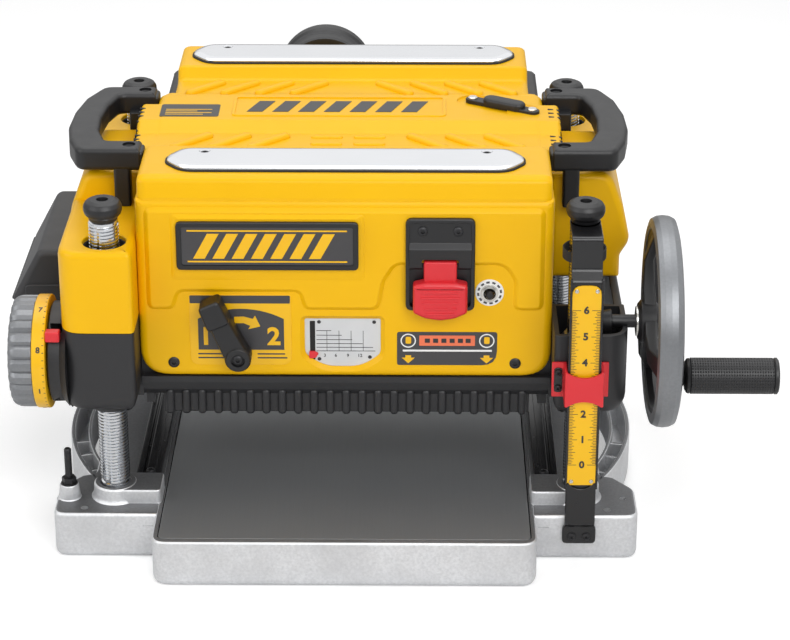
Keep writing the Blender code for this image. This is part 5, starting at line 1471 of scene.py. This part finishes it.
def make_slide_bars():
    """Chromed bars on which a board is passed back, each in a dark gasket and held by two sunk screws."""
    for name in ("front", "rear"):
        (left, right), (near, far), (low, top) = spans(f"slide_bar_{name}")
        middle, half = (near + far) / 2, (far - near) / 2
        outline = [
            (left, middle - 6, 14), (left + 15, near, 22), (right - 15, near, 22),
            (right, middle - 6, 14), (right, middle + 6, 14), (right - 12, far, 22), (left + 12, far, 22),
            (left, middle + 6, 14),
        ]
        outline = fillet(outline, steps=6)
        bar = slab("Z", outline, (low, top), (7, 2.6), 0.0, 5)
        holes = [(left + 33, middle + half * 0.55), (right - 33, middle + half * 0.55)]
        bores = [
            turned("Z", hole, [(top - 3, 0), (top - 3, 2.6), (top + 0.4, 5.6), (top + 0.4, 0)], 32)
            for hole in holes
        ]
        cut(bar, merged(*bores))
        piece(f"chromed_bar_{name}", "head", CHROME, bar, replaces=[f"slide_bar_{name}"], sharp=24)
        gasket = slab("Z", inset(outline, -1.6), (low - 0.2, low + 1.6), 0.8)
        piece(f"bar_gasket_{name}", "head", RUBBER, gasket)
        heads = [screw("Z", hole, top - 3, top - 0.9, 4.2) for hole in holes]
        piece(f"bar_screws_{name}", "head", BLACK_OXIDE, *heads)


def make_shoulders():
    """The side covers: two post housings with soft corners and a tall saddle between them."""
    x, y, (low, high) = spans("side_cover_left")
    inner, outer, reach = -x[1], HEAD_X, y[1]
    step, roof = 60.0, 300.2
    shapes = []
    rings = []
    for sy in (-1, 1):
        ends = sorted((sy * (step - 4), sy * reach))
        corner = [
            (inner, ends[0], 5 if sy < 0 else 0), (outer, ends[0], 22 if sy < 0 else 0),
            (outer, ends[1], 22 if sy > 0 else 0), (inner, ends[1], 5 if sy > 0 else 0),
        ]
        outline = dense(fillet(corner, steps=7), 5)
        post, bore, wall, deck = (POST_X, sy * POST_Y), 19.4, 4.5, roof - 6
        rings_up = [(inset(outline, 0.6), low), (outline, low + 0.8)]
        for step_angle in (0, 25, 45, 65, 90):
            turn = math.radians(step_angle)
            rings_up.append((inset(outline, 6 * (1 - math.cos(turn))), roof - 7 * (1 - math.sin(turn))))
        mouth = [(bore + 0.6, roof), (bore, roof - 0.8), (bore, deck)]
        rings_up += [(ring_round(outline, post, radius), height) for radius, height in mouth]
        rings_up += [(inset(outline, wall), deck), (inset(outline, wall), low)]
        block = loft("Z", rings_up, closed=True)
        shapes.append(block)
        lip = [(roof - 13, 18.0), (roof - 13, 19.5), (roof - 4, 19.5), (roof - 3.4, 18.8), (roof - 4, 18.0)]
        rings.append(turned("Z", (POST_X, sy * POST_Y), lip, 48, True))
    saddle = [
        (inner, low), (outer, low, 2), (outer, low + 22, 12), (outer + 9, low + 37, 16),
        (outer + 2, low + 70, 30), (outer - 11, high, 18), (inner, high),
    ]
    shapes.append(slab("Y", fillet(saddle, steps=6), (-step, step), (7, 8), (7, 8), 4))
    left, left_rings = mirrored(merged(*shapes)), mirrored(merged(*rings))
    # The inch scale stands in a slot of the right cover, and the hand wheel's shaft comes out below it.
    slot = slab(
        "Z", oblong((POST_X - 15.8, POST_X + 15.8), (-reach - 3, -POST_Y), 1.5), (low + 11, roof + 2)
    )
    axle = turned("X", WHEEL, rod(outer - 14, outer + 4, 6.4), 32)
    cut(shapes[0], slot, axle)
    for side, cover, ring in (("left", left, left_rings), ("right", shapes[0], rings[0])):
        piece(f"shoulder_cover_{side}", "head", YELLOW_ABS, cover, replaces=[f"side_cover_{side}"])
        piece(f"post_grommet_{side}", "head", RUBBER, ring)


def make_rear_panel():
    """The rear cover with its vents drawn as painted shadow, and the port that blows the chips out."""
    half, (near, far), (low, top) = 186, spans("rear_cover")[1], spans("rear_cover")[2]
    shelf = 327
    lower = fillet(
        [(near, low, 3), (far - 22, low, 20), (far, low + 36, 16), (far, shelf, 3), (near, shelf)], steps=6
    )
    upper = fillet([(near, shelf - 8), (far, shelf - 8), (far, top, 2), (near, top)])
    port_x, port_z = sum(spans("dust_port")[0]) / 2, sum(spans("dust_port")[2]) / 2
    shell = fused(
        slab("X", lower, (-half, half), (7, 7), (7, 7), 4), slab("X", upper, (-173, 173), (1, 1), (1, 1), 1)
    )
    mouth = turned("Y", (port_x, port_z - 14), rod(far - 30, far + 5, 17), 40)
    cut(shell, mouth)
    piece("rear_shell", "head", BLACK_NYLON, shell, replaces=["rear_cover"])
    # The vents are black capsules on the face: painted shadow in their openings.
    vents = []
    for sx in (-1, 1):
        for number in range(10):
            vents.append(
                slab("Y", capsule((sx * (72 + 9 * number), 238), 46, 3.6, 90, 5), (far - 1, far + 0.25))
            )
    piece("rear_vent_painted_shadows", "head", PAINTED_SHADOW_BLACK, *vents)
    heads = [screw("Y", (x, z), far - 0.5, far + 1.8, 4.6) for x in (-168, 168) for z in (212, 312)]
    piece("rear_screws", "head", BLACK_OXIDE, *heads)
    (_, rim_y), radius = spans("dust_port")[1], 48
    port = [
        (far + 0.3, 35), (far + 0.3, 43), (far + 4, 44), (far + 14, 44.6), (far + 19, 46),
        (far + 22, radius), (rim_y - 1, radius), (rim_y, radius - 1), (rim_y, 44.2), (far + 20, 42),
    ]
    piece(
        "chip_port", "head", BLACK_NYLON,
        turned("Y", (port_x, port_z), fillet(port, 0.8, True, 2), 96, True), replaces=["dust_port"],
    )


def make_carriage():
    """The black carriage: a ribbed apron, rounded trays round the posts and the boss of the turret."""
    side, low = spans("carriage_frame")[0][0], spans("carriage_frame")[2][0]
    top = spans("side_cover_left")[2][0] - 0.3
    inner, outer, floor = CHEEK_X + 0.3, HEAD_X, 142.2
    cutter = (0, 152.2)  # the axis of the cutterhead, seen from the side
    apron_top = FRONT_LOW - 0.3
    apron = [
        (-138, floor), (-143, floor), (-147, 148, 5), (-149, 156, 4), (-149, apron_top), (-138, apron_top)
    ]
    shapes = [slab("X", fillet(apron, closed=True), (-CHEEK_X, CHEEK_X), 0.6, 0.6)]
    skirt = [(-138, low), (-143, low, 1.5), (-143, floor + 6), (-138, floor + 6)]
    shapes.append(slab("X", fillet(skirt), (-168, 168), 1, 1))
    rear = [(138, low), (150, low, 3), (150, apron_top), (138, apron_top)]
    shapes.append(slab("X", fillet(rear), (-168, 168), 1, 1))
    wide = [(138, floor), (149.6, floor), (149.6, apron_top - 0.2), (138, apron_top - 0.2)]
    shapes.append(slab("X", wide, (-CHEEK_X, CHEEK_X)))
    for number in range(23):
        rib_x = -161.7 + 14.7 * number
        rib = oblong((rib_x - 4, rib_x + 4), (low - 1.2, 147.5), 3.9, 4)
        shapes.append(slab("Y", rib, (-141, -147.2), (3.2, 3.2)))
    shapes.append(slab("Y", oblong((-CHEEK_X, CHEEK_X), (floor + 6, 224), 2), (-137.6, -140.8)))
    sides = []
    for sy in (-1, 1):
        ends = sorted((sy * 118, sy * 188))
        corner = [
            (inner, ends[0], 6 if sy < 0 else 2), (outer, ends[0], 22 if sy < 0 else 2),
            (outer, ends[1], 22 if sy > 0 else 2), (inner, ends[1], 6 if sy > 0 else 2),
        ]
        outline = fillet(corner, steps=7)
        tray = slab("Z", outline, (floor, top), 0.4, (13, 17), 5)
        room = slab("Z", inset(outline, 4.5), (floor + 6, top + 4))
        bore = turned("Z", (POST_X, sy * POST_Y), rod(floor - 4, floor + 9, 15.6), 40)
        cut(tray, room, bore)
        collar = [
            (floor - 2.4, 15.6), (floor - 2.4, 19), (floor + 1, 21), (floor + 4, 21), (floor + 4, 15.6)
        ]
        sides += [tray, turned("Z", (POST_X, sy * POST_Y), collar, 48, True)]
    wall = [(outer - 8, floor, 3), (outer, floor, 6), (outer, 214.2, 2), (outer - 8, 214.2, 1)]
    cheek = slab("Y", fillet(wall), (-121, 121))
    cut(cheek, turned("X", cutter, rod(outer - 12, outer + 4, 14), 40))
    sides.append(cheek)
    web_top = apron_top - 1
    web = [(inner - 2, floor), (inner + 8, floor, 2), (inner + 8, web_top), (inner - 2, web_top)]
    inside = slab("Y", fillet(web), (-148, 148))
    cut(inside, turned("X", cutter, rod(inner - 6, inner + 12, 14), 40))
    sides.append(inside)
    sides += [mirrored(shape) for shape in sides]
    boss = [(side, 0), (side, 42), (side + 2, 46), (side + 12, 46), (4 - outer, 52), (6 - outer, 0)]
    boss = turned("X", TURRET, boss, 64)
    bore = turned("X", TURRET, rod(side - 3, -outer + 20, 9), 32)
    cut(boss, bore)
    root = slab(
        "X", oblong((TURRET[0] - 36, TURRET[0] + 28), (floor + 4, top - 3), 10), (-outer + 3, -outer - 6), 4
    )
    for shape in (root, boss):
        room = rod(floor - 30, top, 9)
        cut(shape, turned("Z", STOP, room, 24))
    # With the head all the way down, the stop bolt stands in the boss, close beside the tray.
    groove = rod(floor - 30, top + 4, 4.6)
    front_left_tray = sides[len(sides) // 2]
    cut(front_left_tray, turned("Z", STOP, groove, 24))
    piece("black_carriage", "head", BLACK_COAT, *shapes, *sides, boss, root, replaces=["carriage_frame"])


def make_gearbox():
    """The belt house at the left, with ledges moulded across its face."""
    (left, right), (front, back), (low, top) = spans("gearbox_cover")
    outline = [
        (left, low + 16, 6), (left + 10, low, 8), (right, low, 1), (right, top, 3), (left + 26, top, 9),
        (left, top - 48, 12),
    ]
    house = slab("Y", fillet(outline, steps=5), (front, back), (6, 6), (6, 6), 4)
    shapes = [house]
    for height in (low + 26, low + 44, low + 62):
        ledge = fillet(
            [(left - 1.6, height), (left + 12, height), (left + 12, height + 3), (left - 1.6, height + 3)],
            1.2,
        )
        shapes.append(slab("Y", ledge, (front + 5, back - 5), 1, 1))
    pad = slab("Y", oblong((left + 12, right - 8), (low + 12, top - 34), 6), (front + 2, front - 1.6), 1.2)
    shapes.append(pad)
    piece("belt_house", "head", GREY_NYLON, *shapes, replaces=["gearbox_cover"])
    heads = [
        screw("Y", point, front - 0.4, front - 2.6, 3.6)
        for point in ((left + 20, low + 24), (right - 16, low + 24), (right - 16, top - 44))
    ]
    piece("belt_house_screws", "head", BLACK_OXIDE, *heads)


def make_handles():
    """The C-shaped carry handles, thick and bevelled, each with a leg down to the shoulder."""
    _, _, (foot, top) = spans("carry_handle_right")
    low = top - 22
    outer = [
        (188, -79, 2), (246, -79, 12), (256, -50, 18), (261, -15, 30), (260, 25, 30), (254, 62, 18),
        (240, 96, 14), (188, 96, 2),
    ]
    inner = [
        (188, 73, 2), (222, 73, 8), (230, 45, 12), (233, 10, 24), (231, -25, 16), (222, -54, 8),
        (188, -54, 2),
    ]
    shapes = [slab("Z", fillet(outer + inner, steps=5), (low, top), (5, 5), (5, 5), 4)]
    for near, far in ((-79, -54), (73, 96)):
        arm = slab("Z", oblong((185.3, 216), (near + 1, far - 1), 3), (low + 1, top - 3.5), (3, 3), 2)
        shapes.append(arm)
    for near, far in ((-78, -60.5), (61, 80)):
        shapes.append(slab("Z", oblong((198, 213), (near, far), 3), (foot, low + 6), 0.5, 0.8))
    eyes = [(199, -66.5), (199, 84.5)]
    bores = [
        turned(
            "Z", eye,
            [(top - 9, 0), (top - 9, 4), (top - 4.5, 4), (top - 2.5, 6), (top + 2, 6), (top + 2, 0)], 32,
        )
        for eye in eyes
    ]
    for bore in bores:
        twin = bpy.data.objects.new("shape", bore.data.copy())
        bpy.context.scene.collection.objects.link(twin)
        cut(shapes[0], twin)
        cut(shapes[1] if bore is bores[0] else shapes[2], bore)
    grip = merged(*shapes)
    bolts = merged(*[screw("Z", eye, top - 9, top - 4.5, 3.8) for eye in eyes])
    for side, shape, heads in (("left", mirrored(grip), mirrored(bolts)), ("right", grip, bolts)):
        piece(f"lift_handle_{side}", "head", BLACK_NYLON, shape, replaces=[f"carry_handle_{side}"])
        piece(f"lift_handle_bolts_{side}", "head", BLACK_OXIDE, heads)


def make_wrench():
    """The knife wrench in its tray: a cranked bar with a rounded grip and two magnet studs."""
    start, end = Vector((112, 73.5)), Vector((180, 33))
    _, _, (low, top) = spans("knife_wrench")
    way = (end - start).normalized()
    middle = (start + end) / 2
    lean = math.degrees(math.atan2(way.y, way.x))
    bar = slab("Z", capsule(middle, (end - start).length, 12, lean, 10), (low - 2, low + 2.2), 0.8, 0.6)
    grip = slab("Z", capsule(middle + way * 2, 44, 15, lean, 10), (low, top - 0.6), (3.5, 3.5))
    piece("gib_wrench", "head", BLACK_NYLON, bar, grip, replaces=["knife_wrench"])
    studs = [
        turned(
            "Z", start + way * far,
            [(low, 0), (low, 4.6), (low + 3.2, 4.6), (low + 4, 3.6), (low + 4, 0)], 32,
        )
        for far in (7, 72)
    ]
    piece("wrench_magnets", "head", NICKEL, *studs)


make_front_panel()
make_badge()
make_speed_plate()
make_speed_lever()
make_gauge()
make_hand_label()
make_switch()
make_reset()
make_top_panel()
make_slide_bars()
make_shoulders()
make_rear_panel()
make_carriage()
make_gearbox()
make_handles()
make_wrench()


# ---- CAD nodes that stay ---------------------------------------------------------------------
STAYS = {
    "chromed_steel": CHROME,
    "cast_aluminium": CAST_ALUMINIUM,
    "polished_table": TABLE_STEEL,
    "yellow_housing": YELLOW_ABS,
    "black_housing": BLACK_NYLON,
    "black_casting": BLACK_COAT,
    "black_steel": BLACK_ENAMEL,
    "red_plastic": RED_ABS,
    "silver_plastic": SILVER_PAINT,
    "label_plate": BLACK_INK,
    "yellow_scale": YELLOW_INK,
    "tool_steel": TOOL_STEEL,
    "rubber_belt": RUBBER,
    "bronze": BRONZE,
}
for name, kept in frame["nodes"].items():
    if kept.hide_render:
        continue
    for place in kept.material_slots:
        found = [
            finish
            for slot, finish in STAYS.items()
            if place.material and place.material.name.startswith(slot)
        ]
        place.material = found[0] if found else BLACK_NYLON
        if name.startswith("side_plate"):
            place.material = BLACK_COAT
